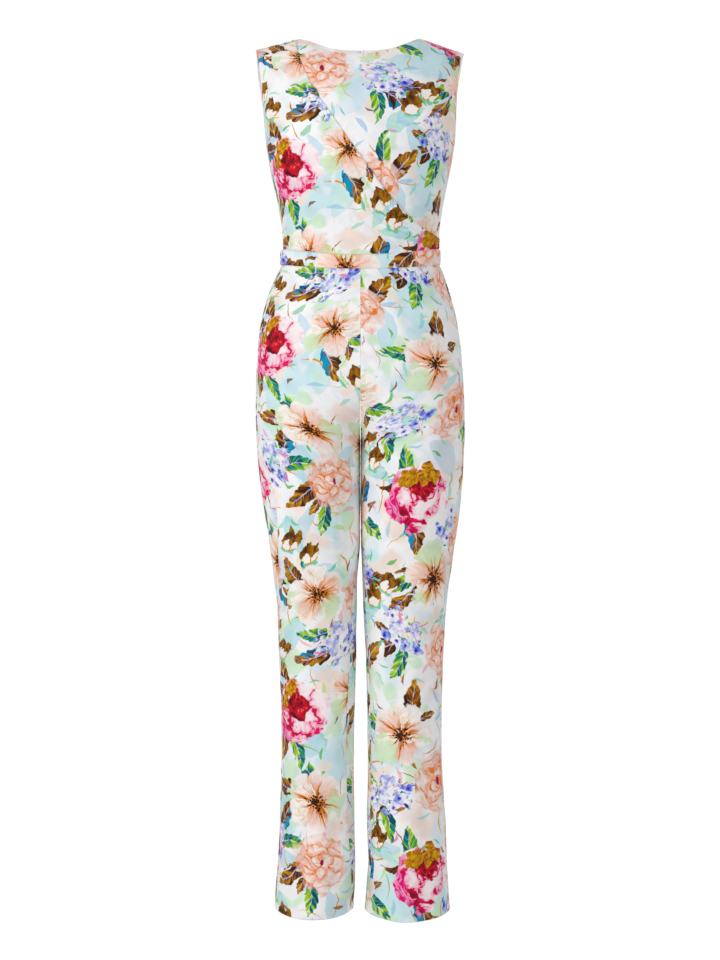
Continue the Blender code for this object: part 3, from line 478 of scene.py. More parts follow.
def paintBlossoms(colour, own):
    x, y, seed = split(own)
    variant = variantOf(seed)
    shift = shifted(variant)
    r, angle = polar(x, y)
    wave = brush(own, 1.7, shift) - 0.5
    rays = brush(vector("NORMALIZE", flatten(own)), 3.1, shift, 3.0, 0.7)
    turns = angle * (5 / (2 * math.pi)) + 0.5 + wave * 0.85
    petal = turns.maths("FLOOR")
    across = turns - petal - 0.5
    number = petal.maths("FLOORED_MODULO", 5.0)
    pick = (number * 2.513 + variant * 9.0).maths("SINE") * 0.5 + 0.5
    streak = noise(join(across * 6.0 + number * 7.3 + variant * 31.0, r * 1.5), 1.6, 3.0, 0.64)
    wide = abs(across) * 2.0
    edge = 0.90 - wide ** 3.0 * 0.30 + wave * 0.40 + pick * 0.08 + (streak - 0.5) * 0.18
    covers = smooth(edge - r, 0.0, 0.08)
    flow = streak + wave * 0.3 + (0.40 - r) * 0.30
    tone = ramp(flow, (0.38, 255, 252, 249), (0.51, 254, 242, 232), (0.60, 250, 220, 200),
                (0.69, 244, 188, 152), (0.80, 228, 144, 86))
    leafy = smooth(pick + wave, 0.80, 0.90) * smooth(r, 0.20, 0.45)
    tone = mix(tone, ink(200, 232, 184), leafy * 0.6)
    blush = smooth(pick, 0.34, 0.24) * smooth(r, 0.95, 0.4)
    tone = mix(tone, ink(248, 190, 172), blush * 0.45)
    shaded = smooth(across, -0.24, -0.5) * smooth(r, 0.95, 0.3)
    tone = mix(tone, ink(232, 160, 124), shaded * 0.55)
    rims = smooth(edge - r, 0.06, 0.0) * smooth(streak, 0.48, 0.60)
    tone = mix(tone, ink(220, 140, 92), rims * 0.55)
    tone = mix(tone, ink(228, 142, 84), smooth(0.28 + (rays - 0.5) * 2.2 - r, -0.12, 0.20) * 0.8)
    tone = mix(tone, ink(166, 90, 42), smooth(0.18 + (rays - 0.5) * 1.5 - r, -0.05, 0.10) * 0.7)
    colour = mix(colour, tone, covers * 0.96)
    distance, shade, _ = cells(own, 14.0, 1.0)
    ring = smooth(r + (rays - 0.5) * -0.6, 0.33, 0.24)
    dots = smooth(distance, 0.46, 0.34) * ring
    orange = Socket.node("SeparateColor", None, {0: shade}) > 0.66
    lines = smooth(rays, 0.54, 0.60) * smooth(r, 0.22, 0.15)
    heart = smooth(r + wave * 0.3, 0.10, 0.06)
    colour = mix(colour, ink(48, 28, 20), lines.maths("MAXIMUM", heart) * 0.9)
    return mix(colour, mix(ink(34, 20, 16), ink(222, 128, 56), orange), dots)


def makePrint():
    tree = bpy.data.node_groups.new("floral print", "ShaderNodeTree")
    tree.interface.new_socket("Cloth", in_out="INPUT", socket_type="NodeSocketVector")
    tree.interface.new_socket("Colour", in_out="OUTPUT", socket_type="NodeSocketColor")
    Socket.tree = tree
    place = Socket(tree.nodes.new("NodeGroupInput").outputs[0])
    blur = noise(place, drift["scale"], drift["detail"], drift["rough"], output=1)
    blur = vector("SUBTRACT", blur, (0.5, 0.5, 0.5))
    place = vector("MULTIPLY_ADD", blur, (drift["reach"], drift["reach"], 0.0), place)
    wrapped = vector("WRAP", place, (*tile, 1), (0, 0, 0))
    colour = paintGround(place)
    for kind in ("pale", "pastel", "stems"):
        colour = paintStrokes(colour, place, **strokes[kind])
    colour = paintLeaves(colour, nearest(place, wrapped, leaves))
    colour = paintClusters(colour, nearest(place, wrapped, clusters))
    colour = paintStrokes(colour, place, **strokes["buds"])
    colour = paintCups(colour, nearest(place, wrapped, cups))
    colour = paintRosettes(colour, nearest(place, wrapped, rosettes))
    colour = paintBlossoms(colour, nearest(place, wrapped, blossoms))
    colour = Socket.node("HueSaturation", None, {"Saturation": richness, "Color": colour})
    tree.links.new(colour.out, tree.nodes.new("NodeGroupOutput").inputs[0])
    print("print:", len(tree.nodes), "nodes")
    return tree


# Cloth shapes, in metres. Down is the distance below the shoulders, across runs from -1 at the
# wearer's right edge of a ring to 1 at the left one.

seamGap = 0.0003
clothWall = 0.0011
bandWall = 0.0015
rim = {"free": 0.45, "sewn": 0.42}  # how far it stands out, in walls or in seam gaps
facing = {"front": -1, "back": 1}  # along y
neckHalf = 0.101
shoulderOut = {"right": 0.178, "left": 0.176}
shoulderFall = {"right": 0.0190, "left": 0.0255}
neckDrop = {"front": (0.036, 1.7), "back": (0.012, 2.2)}  # depth, and how square it is
roll = {"front": 0.118, "back": 0.050}  # below a shoulder seam, to the body's full depth
underarm = 0.178
bodiceEnd = {"side": 0.3580, "front": 0.0125, "back": -0.0060}  # front, back: more at the middle
trouserStart = {"side": 0.3856, "front": 0.0090, "back": -0.0065}
waistRange = (0.345, 0.400)  # down, which holds both waist seams
crotch = 0.683
crotchCurve = {"front": 0.115, "back": 0.135}  # height
sideSeamEnd = 0.1  # above the crotch, from where a side seam is off the middle of the depth
seamSlant = 0.75  # the least share of a wall that stands square to the cloth
hem = {"right": 1.4740, "left": 1.4775}
wrapStart, underStart = -0.624, -0.720  # across
tiny = 1e-6


def through(keys, values):
    # A smooth curve that doesn't overshoot its points.
    keys, values = np.array(keys, float), np.array(values, float)
    steps = np.diff(values) / np.diff(keys)
    before, after = steps[:-1], steps[1:]
    same = before * after > 0
    inner = np.where(same, 2 * before * after / np.where(same, before + after, 1), 0)
    slopes = np.concatenate([steps[:1], inner, steps[-1:]])

    def at(key):
        key = np.clip(key, keys[0], keys[-1])
        i = np.clip(np.searchsorted(keys, key, "right") - 1, 0, len(keys) - 2)
        width = keys[i + 1] - keys[i]
        t = (key - keys[i]) / width
        ends = values[i] * (1 + 2 * t) * (1 - t) ** 2 + values[i + 1] * t**2 * (3 - 2 * t)
        return ends + width * t * (1 - t) * (slopes[i] * (1 - t) - slopes[i + 1] * t)
    return at


def table(columns, *rows):
    # A curve for each other column over the first.
    names = columns.split()
    keys = [row[0] for row in rows]
    return {name: through(keys, [row[i] for row in rows]) for i, name in enumerate(names) if i}


def ease(t):
    t = np.clip(t, 0.0, 1.0)
    return t * t * (3 - 2 * t)


def bell(distance, width):
    off = distance / width
    return np.exp(-off * off)


def unit(vectors):
    return vectors / np.maximum(np.linalg.norm(vectors, axis=-1, keepdims=True), 1e-12)


bodice = table(
    "down right left front back square",
    (0.000, 0.1880, 0.1880, 0.094, 0.084, 2.2),
    (0.060, 0.1815, 0.1815, 0.106, 0.092, 2.3),
    (0.090, 0.1760, 0.1760, 0.113, 0.097, 2.4),
    (0.115, 0.1722, 0.1722, 0.118, 0.101, 2.5),
    (0.140, 0.1686, 0.1686, 0.122, 0.103, 2.5),
    (0.158, 0.1648, 0.1648, 0.124, 0.105, 2.5),
    (0.170, 0.1621, 0.1621, 0.126, 0.105, 2.5),
    (0.178, 0.1605, 0.1600, 0.126, 0.105, 2.5),
    (0.205, 0.1565, 0.1560, 0.127, 0.104, 2.5),
    (0.240, 0.1500, 0.1490, 0.124, 0.102, 2.4),
    (0.270, 0.1428, 0.1428, 0.117, 0.099, 2.3),
    (0.300, 0.1370, 0.1378, 0.108, 0.096, 2.2),
    (0.330, 0.1328, 0.1342, 0.099, 0.093, 2.1),
    (0.372, 0.1310, 0.1338, 0.094, 0.090, 2.1),
)
armhole = table(
    "down front_right back_right front_left back_left",
    (0.0190, 0.1780, 0.1780, 0.1760, 0.1760),
    (0.0255, 0.1773, 0.1779, 0.1760, 0.1760),
    (0.036, 0.1756, 0.1775, 0.1715, 0.1738),
    (0.053, 0.1718, 0.1766, 0.1675, 0.1715),
    (0.070, 0.1685, 0.1748, 0.1645, 0.1688),
    (0.090, 0.1658, 0.1716, 0.1626, 0.1662),
    (0.115, 0.1642, 0.1672, 0.1614, 0.1630),
    (0.135, 0.1630, 0.1646, 0.1609, 0.1614),
    (0.158, 0.1616, 0.1620, 0.1606, 0.1607),
    (0.178, 0.1605, 0.1605, 0.1600, 0.1600),
)
wrapLine = table(
    "across down",
    (-0.624, 0.0026),
    (-0.560, 0.0580),
    (-0.474, 0.0963),
    (-0.329, 0.1328),
    (-0.151, 0.1755),
    (0.032, 0.2162),
    (0.255, 0.2597),
    (0.493, 0.2958),
    (0.731, 0.3217),
    (1.000, 0.3400),
)["down"]
dragWidth = 0.1338  # metres for an across of 1
drags = {  # across and down at both ends, half width, height
    "front": [
        (-0.86, 0.190, -0.40, 0.262, 0.014, -0.0018),
        (-0.90, 0.262, -0.30, 0.322, 0.013, 0.0016),
        (0.90, 0.188, 0.52, 0.246, 0.014, -0.0018),
        (0.62, 0.060, 0.36, 0.150, 0.016, 0.0014),
    ],
    "back": [
        (-0.88, 0.200, -0.42, 0.290, 0.015, -0.0020),
        (0.86, 0.205, 0.46, 0.286, 0.015, -0.0020),
        (-0.55, 0.300, -0.20, 0.345, 0.013, 0.0016),
        (0.58, 0.305, 0.18, 0.342, 0.013, 0.0016),
    ],
}
frontCount = 20
frontParts, rowParts = 4, 5  # finer lines for each of the coarse ones
rowShares = [  # how far down a panel its coarse rows lie
    0.0, 0.003, 0.0135, 0.032, 0.062, 0.106, 0.165, 0.236, 0.307, 0.366,
    0.407, 0.437, 0.457, 0.469, 0.516, 0.605, 0.723, 0.855, 1.0,
]
wrapSteep = [-0.6215, -0.616, -0.607, -0.593, -0.573, -0.545, -0.510, -0.470]
nearEdge = (0.25, 0.55)  # shares of the gap beside an edge


def bySide(across, left, right):
    return np.where(across >= 0, left, right)


def halfWidth(shape, across, down):
    return bySide(across, shape["left"](down), shape["right"](down))


def edgeWidth(across, down, face):
    ring = halfWidth(bodice, across, down)
    cut = bySide(across, armhole[face + "_left"](down), armhole[face + "_right"](down))
    return np.where(down >= underarm, ring, cut)


def shoulderDown(x):
    fall = bySide(x, **shoulderFall)
    return fall * np.maximum(0, abs(x) - neckHalf) / (bySide(x, **shoulderOut) - neckHalf)


def topDown(across, face):
    x = across * bySide(across, **shoulderOut)
    drop, curve = neckDrop[face]
    neck = drop * (1 - np.minimum(1, abs(x) / neckHalf) ** curve)
    return np.where(abs(x) >= neckHalf, shoulderDown(x), neck)


def seamDown(seam, across, face):
    return seam["side"] + seam[face] * (1 - across * across)


def bodicePoint(across, down, face):
    x = across * edgeWidth(across, down, face)
    half = halfWidth(bodice, across, down)
    square = bodice["square"](down)
    roundOff = (1 - np.minimum(1, abs(x) / half) ** square) ** (1 / square)
    fall = np.clip((down - shoulderDown(x)) / roll[face], 0, 1)
    depth = bodice[face](down) * roundOff * np.sqrt(1 - (1 - fall) ** 2) + seamGap / 2
    return np.stack([x, depth * facing[face], -down], -1)


def drag(face, across, down):
    total = np.zeros(np.shape(down))
    for x0, d0, x1, d1, spread, rise in drags[face]:
        along = np.array([(x1 - x0) * dragWidth, d1 - d0])
        place = np.stack([across * dragWidth - x0 * dragWidth, down - d0], -1)
        t = place @ along / (along @ along)
        off = np.linalg.norm(place - t[..., None] * along, axis=-1)
        swell = np.where((t > 0) & (t < 1), np.sin(np.pi * np.clip(t, 0, 1)) ** 2, 0)
        total += rise * swell * bell(off, spread)
    return total


def spreadColumns(start, end, count, stops=()):
    # Columns at even turns round the body, through the stops.
    turns = [math.asin(across) for across in (start, *stops, end)]
    found = [turns[0]]
    for a, b in zip(turns, turns[1:]):
        parts = max(1, round(count * (b - a) / (turns[-1] - turns[0])))
        found += [a + (b - a) * (k + 1) / parts for k in range(parts)]
    return np.sin(found)


def finer(values, parts):
    # More lines between the given ones, and two close to each end, where a seam or an edge is.
    values = np.asarray(values, float)
    places = np.arange((len(values) - 1) * parts + 1) / parts
    found = np.interp(places, np.arange(len(values)), values)
    first, last = found[:2], found[-2:]
    early = [first[0] + (first[1] - first[0]) * share for share in nearEdge]
    late = [last[1] + (last[0] - last[1]) * share for share in reversed(nearEdge)]
    return np.concatenate([found[:1], early, found[1:-1], late, found[-1:]])


def finerTurns(columns, parts):
    return np.clip(np.sin(finer(np.arcsin(columns), parts)), -1, 1)


def frontColumns(start):
    leftNeck = neckHalf / shoulderOut["left"]
    stops = sorted([underStart, wrapStart, *wrapSteep, leftNeck])
    columns = spreadColumns(-1, 1, frontCount, stops)
    return finerTurns(columns[columns > start - tiny], frontParts)


def spreadRows(low, top, evenly=0.0):
    # Heights of the rows, lowest first, and how far up the panel each is as a share of its rows.
    place = finer(np.arange(len(rowShares)), rowParts)
    shares = np.interp(place, np.arange(len(rowShares)), rowShares)
    level = (place / place[-1])[:, None]
    shares = shares[:, None] * (1 - evenly) + evenly * level
    return (top + (low - top) * shares)[::-1], 1 - level[::-1]


# Creases: x and down at both ends, half width, height, and how far the middle of
# the line bows to its left. They lie on whatever panel is there.
creaseTaper = 1.3
creases = {
    "bodice front": [
        (-0.118, 0.196, -0.052, 0.262, 0.0065, -0.0009, 0.004),
        (-0.126, 0.214, -0.070, 0.276, 0.0055, 0.0007, 0.003),
        (-0.122, 0.286, -0.040, 0.330, 0.0060, -0.0008, -0.004),
        (-0.090, 0.330, -0.020, 0.352, 0.0050, 0.0006, 0.0),
        (-0.150, 0.060, -0.118, 0.150, 0.0070, -0.0007, 0.003),
        (-0.135, 0.030, -0.112, 0.105, 0.0060, 0.0006, 0.0),
        (-0.040, 0.170, 0.030, 0.250, 0.0080, 0.0006, 0.010),
        (0.152, 0.060, 0.128, 0.150, 0.0060, -0.0008, -0.003),
        (0.146, 0.180, 0.082, 0.242, 0.0060, -0.0010, -0.004),
        (0.148, 0.206, 0.104, 0.262, 0.0050, 0.0007, 0.0),
        (0.060, 0.060, 0.030, 0.150, 0.0090, 0.0005, 0.006),
        (0.096, 0.110, 0.050, 0.200, 0.0080, -0.0006, 0.0),
        (-0.020, 0.300, 0.090, 0.336, 0.0050, 0.0006, 0.006),
    ],
    "bodice back": [
        (-0.128, 0.200, -0.050, 0.276, 0.0070, -0.0010, 0.004),
        (-0.120, 0.240, -0.030, 0.306, 0.0060, 0.0008, 0.005),
        (-0.104, 0.300, -0.030, 0.330, 0.0055, -0.0009, 0.0),
        (-0.120, 0.060, -0.070, 0.150, 0.0090, 0.0006, 0.0),
        (0.126, 0.196, 0.046, 0.270, 0.0070, -0.0010, -0.004),
        (0.118, 0.246, 0.036, 0.312, 0.0060, 0.0008, -0.004),
        (0.110, 0.306, 0.024, 0.334, 0.0055, -0.0008, 0.0),
        (0.122, 0.070, 0.076, 0.158, 0.0090, 0.0006, 0.0),
        (-0.020, 0.330, 0.030, 0.338, 0.0050, 0.0006, 0.0),
    ],
    "trouser front": [
        (-0.010, 0.640, -0.090, 0.560, 0.0070, -0.0011, 0.006),
        (0.010, 0.640, 0.096, 0.556, 0.0070, -0.0011, -0.006),
        (-0.012, 0.668, -0.110, 0.622, 0.0065, 0.0008, 0.004),
        (0.012, 0.668, 0.112, 0.616, 0.0065, 0.0009, -0.004),
        (-0.016, 0.705, -0.100, 0.690, 0.0070, -0.0009, 0.003),
        (0.016, 0.708, 0.104, 0.686, 0.0070, -0.0008, -0.003),
        (-0.070, 0.400, -0.082, 0.520, 0.0080, -0.0008, 0.003),
        (0.064, 0.402, 0.078, 0.530, 0.0080, -0.0008, -0.003),
        (-0.112, 0.402, -0.128, 0.470, 0.0060, 0.0006, 0.0),
        (0.110, 0.402, 0.126, 0.474, 0.0060, 0.0006, 0.0),
        (-0.020, 0.410, -0.022, 0.620, 0.0060, -0.0007, 0.0),
        (0.020, 0.410, 0.018, 0.620, 0.0060, 0.0006, 0.0),
        (-0.120, 0.860, -0.040, 0.930, 0.0080, -0.0008, 0.004),
        (-0.128, 0.930, -0.050, 0.980, 0.0075, 0.0007, 0.003),
        (-0.030, 0.900, -0.090, 1.010, 0.0080, -0.0008, -0.004),
        (-0.120, 1.040, -0.036, 1.100, 0.0080, -0.0007, 0.004),
        (0.122, 0.850, 0.044, 0.924, 0.0080, -0.0008, -0.004),
        (0.132, 0.926, 0.056, 0.972, 0.0075, 0.0007, -0.003),
        (0.030, 0.910, 0.092, 1.000, 0.0080, -0.0008, 0.004),
        (0.122, 1.060, 0.040, 1.128, 0.0080, -0.0007, -0.004),
        (-0.104, 1.180, -0.060, 1.400, 0.0090, 0.0008, 0.004),
        (-0.044, 1.220, -0.054, 1.474, 0.0080, -0.0009, 0.0),
        (0.048, 1.200, 0.060, 1.476, 0.0080, -0.0009, 0.0),
        (0.108, 1.160, 0.084, 1.420, 0.0090, 0.0008, -0.004),
        (-0.118, 1.300, -0.124, 1.470, 0.0070, -0.0009, 0.0),
        (0.124, 1.290, 0.132, 1.474, 0.0070, -0.0008, 0.0),
    ],
    "trouser back": [
        (-0.012, 0.660, -0.092, 0.600, 0.0080, -0.0014, 0.006),
        (0.012, 0.660, 0.096, 0.596, 0.0080, -0.0014, -0.006),
        (-0.016, 0.700, -0.120, 0.664, 0.0070, 0.0011, 0.004),
        (0.016, 0.704, 0.118, 0.660, 0.0070, 0.0010, -0.004),
        (-0.018, 0.740, -0.110, 0.716, 0.0080, -0.0012, 0.004),
        (0.020, 0.744, 0.112, 0.712, 0.0080, -0.0011, -0.004),
        (-0.082, 0.400, -0.096, 0.500, 0.0070, -0.0009, 0.0),
        (0.080, 0.400, 0.092, 0.510, 0.0070, -0.0009, 0.0),
        (-0.120, 0.880, -0.040, 0.950, 0.0080, -0.0009, 0.004),
        (0.118, 0.870, 0.042, 0.944, 0.0080, -0.0009, -0.004),
        (-0.116, 0.990, -0.040, 1.060, 0.0085, 0.0008, 0.003),
        (0.120, 0.984, 0.044, 1.050, 0.0085, 0.0008, -0.003),
        (-0.050, 1.140, -0.062, 1.474, 0.0090, -0.0010, 0.0),
        (0.054, 1.120, 0.068, 1.476, 0.0090, -0.0010, 0.0),
        (-0.100, 1.220, -0.112, 1.470, 0.0080, 0.0008, 0.0),
        (0.104, 1.240, 0.118, 1.474, 0.0080, 0.0008, 0.0),
    ],
}


def crease(points, where):
    x, down = points[..., 0], -points[..., 2]
    total = np.zeros(x.shape)
    for x0, d0, x1, d1, spread, rise, bow in creases[where]:
        along = np.array([x1 - x0, d1 - d0])
        span = np.hypot(*along)
        along = along / span
        t = ((x - x0) * along[0] + (down - d0) * along[1]) / span
        side = -(x - x0) * along[1] + (down - d0) * along[0]
        swell = np.sin(np.pi * np.clip(t, 0, 1))
        total += rise * swell**creaseTaper * bell(side - bow * swell, spread)
    return total


# The slow unevenness of cloth that hangs free.
waver = {
    "waves": 7, "length": (0.035, 0.10), "lean": 0.9, "phase": 6.3,
    "around": 0.02,  # metres that a wave moves for each radian round the body
    "height": 0.00013,
}


def wander(points, seed):
    x, down = points[..., 0], -points[..., 2]
    around = np.arctan2(points[..., 0], points[..., 1])
    made = np.random.default_rng(seed)
    total = np.zeros(x.shape)
    for _ in range(waver["waves"]):
        span = made.uniform(*waver["length"])
        lean = made.uniform(-waver["lean"], waver["lean"])
        start = made.uniform(0, waver["phase"])
        place = x + down * lean + around * waver["around"]
        total += np.sin(2 * np.pi * place / span + start)
    return total * waver["height"]


def alongGrid(points, axis):
    steps = np.linalg.norm(np.diff(points, axis=axis), axis=-1)
    start = np.zeros_like(np.take(steps, [0], axis=axis))
    return np.concatenate([start, np.cumsum(steps, axis=axis)], axis=axis)


# Seams lie a little low and pucker beside it, and turned edges stand a little full as far as their
# stitches. Each has a height, a place from the edge and a half width.
sewing = {
    "hold": 0.012,  # how far from a seam the cloth isn't free
    "sink": 0.00045, "sinkAt": 0.0, "sinkWidth": 0.0017,
    "pucker": 0.00013, "puckerAt": 0.004, "puckerWidth": 0.004, "ripple": 0.0125, "change": 0.071,
    "full": 0.00025, "fullAt": 0.0035, "fullWidth": 0.0025,
    "stitch": 0.00018, "stitchAt": 0.0085, "stitchWidth": 0.0012,
}


def strip(name, distance):
    return bell(distance - sewing[name + "At"], sewing[name + "Width"])


def edgeRelief(points, sewn, free):
    over, up = alongGrid(points, 1), alongGrid(points, 0)
    far = {"start": over, "end": over[:, -1:] - over, "low": up, "top": up[-1:] - up}
    total = np.zeros(over.shape)
    hold = np.ones(over.shape)
    for name, distance in far.items():
        beside = 2 * np.pi * (up if name in ("start", "end") else over)
        if name in sewn:
            hold *= ease(distance / sewing["hold"])
            total -= sewing["sink"] * strip("sink", distance)
            ripple = np.sin(beside / sewing["ripple"] + 2.5 * np.sin(beside / sewing["change"]))
            total += sewing["pucker"] * ripple * strip("pucker", distance)
        if name in free:
            total += sewing["full"] * strip("full", distance)
            total -= sewing["stitch"] * strip("stitch", distance)
    return total, hold


def addObject(name, data):
    made = bpy.data.objects.new(name, data)
    bpy.context.scene.collection.objects.link(made)
    return made


def buildMesh(name, places, spots, faces, kinds):
    # All faces have four corners, kinds are their materials and spots their places on the cloth.
    mesh = bpy.data.meshes.new(name)
    mesh.vertices.add(len(places))
    mesh.vertices.foreach_set("co", places.astype(np.float32).ravel())
    mesh.loops.add(faces.size)
    mesh.loops.foreach_set("vertex_index", faces.astype(np.int32).ravel())
    mesh.polygons.add(len(faces))
    mesh.polygons.foreach_set("loop_start", np.arange(0, faces.size, 4, dtype=np.int32))
    mesh.polygons.foreach_set("material_index", kinds)
    layer = mesh.uv_layers.new(name="cloth")
    layer.uv.foreach_set("vector", spots[faces.ravel()].astype(np.float32).ravel())
    mesh.update(calc_edges=True)
    mesh.validate()
    mesh.shade_smooth()
    return mesh


def sharpen(mesh, border, sewn, count):
    # The edges along the border that have a sewn point at either end. Count is from wall to wall.
    ends = np.empty(len(mesh.edges) * 2, np.int32)
    mesh.edges.foreach_get("vertices", ends)
    ends = ends.reshape(-1, 2)
    along = border[ends].all(1) & (abs(ends[:, 0] - ends[:, 1]) != count)
    sharp = mesh.attributes.new("sharp_edge", "BOOLEAN", "EDGE")
    sharp.data.foreach_set("value", along & sewn[ends].any(1))


def clothObject(name, points, outward, uv, wall, free, materials):
    # A thin shell: the outer grid, the inner one, and a rounded rim between them.
    tall, width = points.shape[:2]
    turned = np.cross(np.gradient(points, axis=1), np.gradient(points, axis=0))
    if np.median((turned * outward).sum(-1)) < 0:
        points, outward, uv = points[:, ::-1], outward[:, ::-1], uv[:, ::-1]
        free = [{"start": "end", "end": "start"}.get(side, side) for side in free]
    inner = points - outward * wall
    count = tall * width
    index = np.arange(count).reshape(tall, width)
    corners = [index[:-1, :-1], index[:-1, 1:], index[1:, 1:], index[1:, :-1]]
    quads = np.stack(corners, -1).reshape(-1, 4)
    sides = {
        "low": (index[0, :-1], points[0] - points[1]),
        "end": (index[:-1, -1], points[:, -1] - points[:, -2]),
        "top": (index[-1, :0:-1], (points[-1] - points[-2])[::-1]),
        "start": (index[:0:-1, 0], (points[:, 0] - points[:, 1])[::-1]),
    }
    border, away = [], []
    isBorder, isSewn = np.zeros((2, 2 * count + 2 * (tall + width - 2)), bool)
    for side, (line, out) in sides.items():
        border.append(line)
        stand = rim["free"] * wall if side in free else rim["sewn"] * seamGap
        away.append(unit(out[:-1]) * stand)
        for walls in (line, line + count):
            isBorder[walls] = True
            isSewn[walls] |= side not in free
    border, away = np.concatenate(border), np.concatenate(away)
    flat, flatInner, flatUv = points.reshape(-1, 3), inner.reshape(-1, 3), uv.reshape(-1, 2)
    middle = (flat[border] + flatInner[border]) / 2 + away
    following = np.roll(np.arange(len(border)), -1)
    then = border[following]
    rimHere, rimThen = 2 * count + np.arange(len(border)), 2 * count + following
    rimOut = np.stack([then, border, rimHere, rimThen], -1)
    rimIn = np.stack([rimThen, rimHere, border + count, then + count], -1)
    faces = np.concatenate([quads, quads[:, ::-1] + count, rimOut, rimIn])
    kinds = np.zeros(len(faces), np.int32)
    kinds[len(quads):2 * len(quads)] = 1
    places = np.concatenate([flat, flatInner, middle])
    spots = np.concatenate([flatUv, flatUv, flatUv[border]])
    mesh = buildMesh(name, places, spots, faces, kinds)
    sharpen(mesh, isBorder, isSewn, count)
    for material in materials:
        mesh.materials.append(material)
    return addObject(name, mesh)


def lockInward(points, outward):
    # Along a seam the wall goes straight in, in the seam's own plane, so that both sides meet.
    locked = outward.copy()
    rows, columns = points.shape[:2]
    i, j = np.indices((rows, columns))
    level = (i == 0) | (i == rows - 1)
    border = level | (j == 0) | (j == columns - 1)
    x, y, down = points[..., 0], points[..., 1], -points[..., 2]
    middleSeam = border & (abs(x) <= seamGap) & (down < crotch - 1e-4)
    sideSeam = border & (abs(y) <= seamGap) & (down < crotch - sideSeamEnd)
    waistSeam = level & (down > waistRange[0]) & (down < waistRange[1])
    for axis, seam in enumerate((middleSeam, sideSeam, waistSeam)):
        locked[..., axis][seam] = 0
    locked = unit(locked)
    return locked / np.maximum(seamSlant, (locked * outward).sum(-1, keepdims=True))


def facingOut(points):
    normal = unit(np.cross(np.gradient(points, axis=1), np.gradient(points, axis=0)))
    away = points * [1, 1, 0]
    return normal * np.sign(np.median((normal * away).sum(-1)))


def bilinear(grid, row, column):
    last = np.array(grid.shape) - 1.001  # just within the last row and column
    row, column = np.clip(row, 0, last[0]), np.clip(column, 0, last[1])
    i, j = row.astype(int), column.astype(int)
    s, t = row - i, column - j
    return (
        grid[i, j] * (1 - s) * (1 - t) + grid[i + 1, j] * s * (1 - t)
        + grid[i, j + 1] * (1 - s) * t + grid[i + 1, j + 1] * s * t
    )


def bodiceChart(face):
    # Distances on the cloth: across from the middle, and down as far as the chart reaches.
    tall, middle, reach = 160, 100, 0.40
    columns, rows = np.linspace(-1, 1, 2 * middle + 1), np.linspace(0, reach, tall + 1)
    points = bodicePoint(*np.meshgrid(columns, rows), face)
    over, up = alongGrid(points, 1), alongGrid(points, 0)
    over, up = over - over[:, middle:middle + 1], up - up[-1:]

    def at(across, down):
        i, j = down / reach * tall, (across + 1) * middle
        return np.stack([bilinear(over, i, j) * -facing[face], bilinear(up, i, j) + reach], -1)
    return at


charts = {face: bodiceChart(face) for face in facing}


def bodicePanel(piece, face, columns, rows, rise=0.0):
    # Rows holds down for each row and column, and rise the height over the surface, without drags.
    across = np.broadcast_to(columns, rows.shape)
    base = bodicePoint(across, rows, face)
    outward = facingOut(base)
    edges, hold = edgeRelief(base, piece["sewn"], piece["free"])
    own = crease(base, "bodice " + face) + wander(base, piece["seed"])
    rise = rise + drag(face, across, rows)
    points = base + outward * (rise + own * hold + edges)[..., None]
    uv = charts[face](across, rows) + piece["print"]
    finishPiece(piece, base, points, outward, uv, clothWall)


def finishPiece(piece, base, points, outward, uv, wall):
    # The cut's size comes from the distances on the cloth and its area from the smooth surface.
    inward = lockInward(points, outward)
    made = clothObject(piece["name"], points, inward, uv, wall, piece["free"], clothPair)
    diagonals = np.cross(base[1:, 1:] - base[:-1, :-1], base[1:, :-1] - base[:-1, 1:])
    area = float(np.linalg.norm(diagonals, axis=-1).sum() / 2)
    size = [float(np.ptp(uv[..., i])) for i in range(2)]
    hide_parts(piece["node"])
    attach(made, "garment")
    area = min(area, size[0] * size[1])
    cut = f"flat {size[0]:.3f} x {size[1]:.3f} m, area {area:.4f}"
    print(f"{piece['name']}: {cut}, {len(made.data.polygons)} faces")


# Materials

def newMaterial(name):
    made = bpy.data.materials.new(name)
    made.use_nodes = True
    made.node_tree.nodes.clear()
    Socket.tree = made.node_tree
    shader = Socket.node("BsdfPrincipled", None, None, None)
    output = Socket.node("OutputMaterial", None, None, None)
    made.node_tree.links.new(shader.outputs[0], output.inputs[0])
    return made, shader


def feed(shader, values):
    for name, value in values.items():
        if isinstance(value, Socket):
            Socket.tree.links.new(value.out, shader.inputs[name])
        else:
            shader.inputs[name].default_value = value


thread = 0.00042  # from one to the next, in metres
tapeRib = 0.0011


def weaveBump(cloth, strength):
    # Fine crossing threads, with some thicker than others.
    u, v, _ = split(cloth)
    warp = abs((u * (math.pi / thread)).maths("SINE"))
    weft = abs((v * (math.pi / thread)).maths("SINE"))
    slub = noise(vector("MULTIPLY", cloth, (260.0, 2600.0, 0)), 1.0, 1.0)
    height = warp * 0.5 + weft * 0.5 + slub * 0.6
    return bump(height, strength, 0.00006)


def printedCloth(name, tree):
    made, shader = newMaterial(name)
    cloth = Socket.node("UVMap", {"uv_map": "cloth"})
    colour = Socket.node("Group", {"node_tree": tree}, {0: cloth})
    slow = noise(cloth, 30.0, 2.0)
    shade = mix(ink(255, 255, 255), ink(244, 244, 246), smooth(slow, 0.35, 0.75))
    inputs = {0: 1.0, 6: colour, 7: shade}
    tone = Socket.node("Mix", {"data_type": "RGBA", "blend_type": "MULTIPLY"}, inputs, 2)
    feed(shader, {
        "Base Color": tone,
        "Roughness": 0.50 + slow * 0.12,
        "Normal": weaveBump(cloth, 0.35),
        "Sheen Weight": 0.03,
        "Sheen Roughness": 0.4,
        "Specular IOR Level": 0.16,
    })
    return made


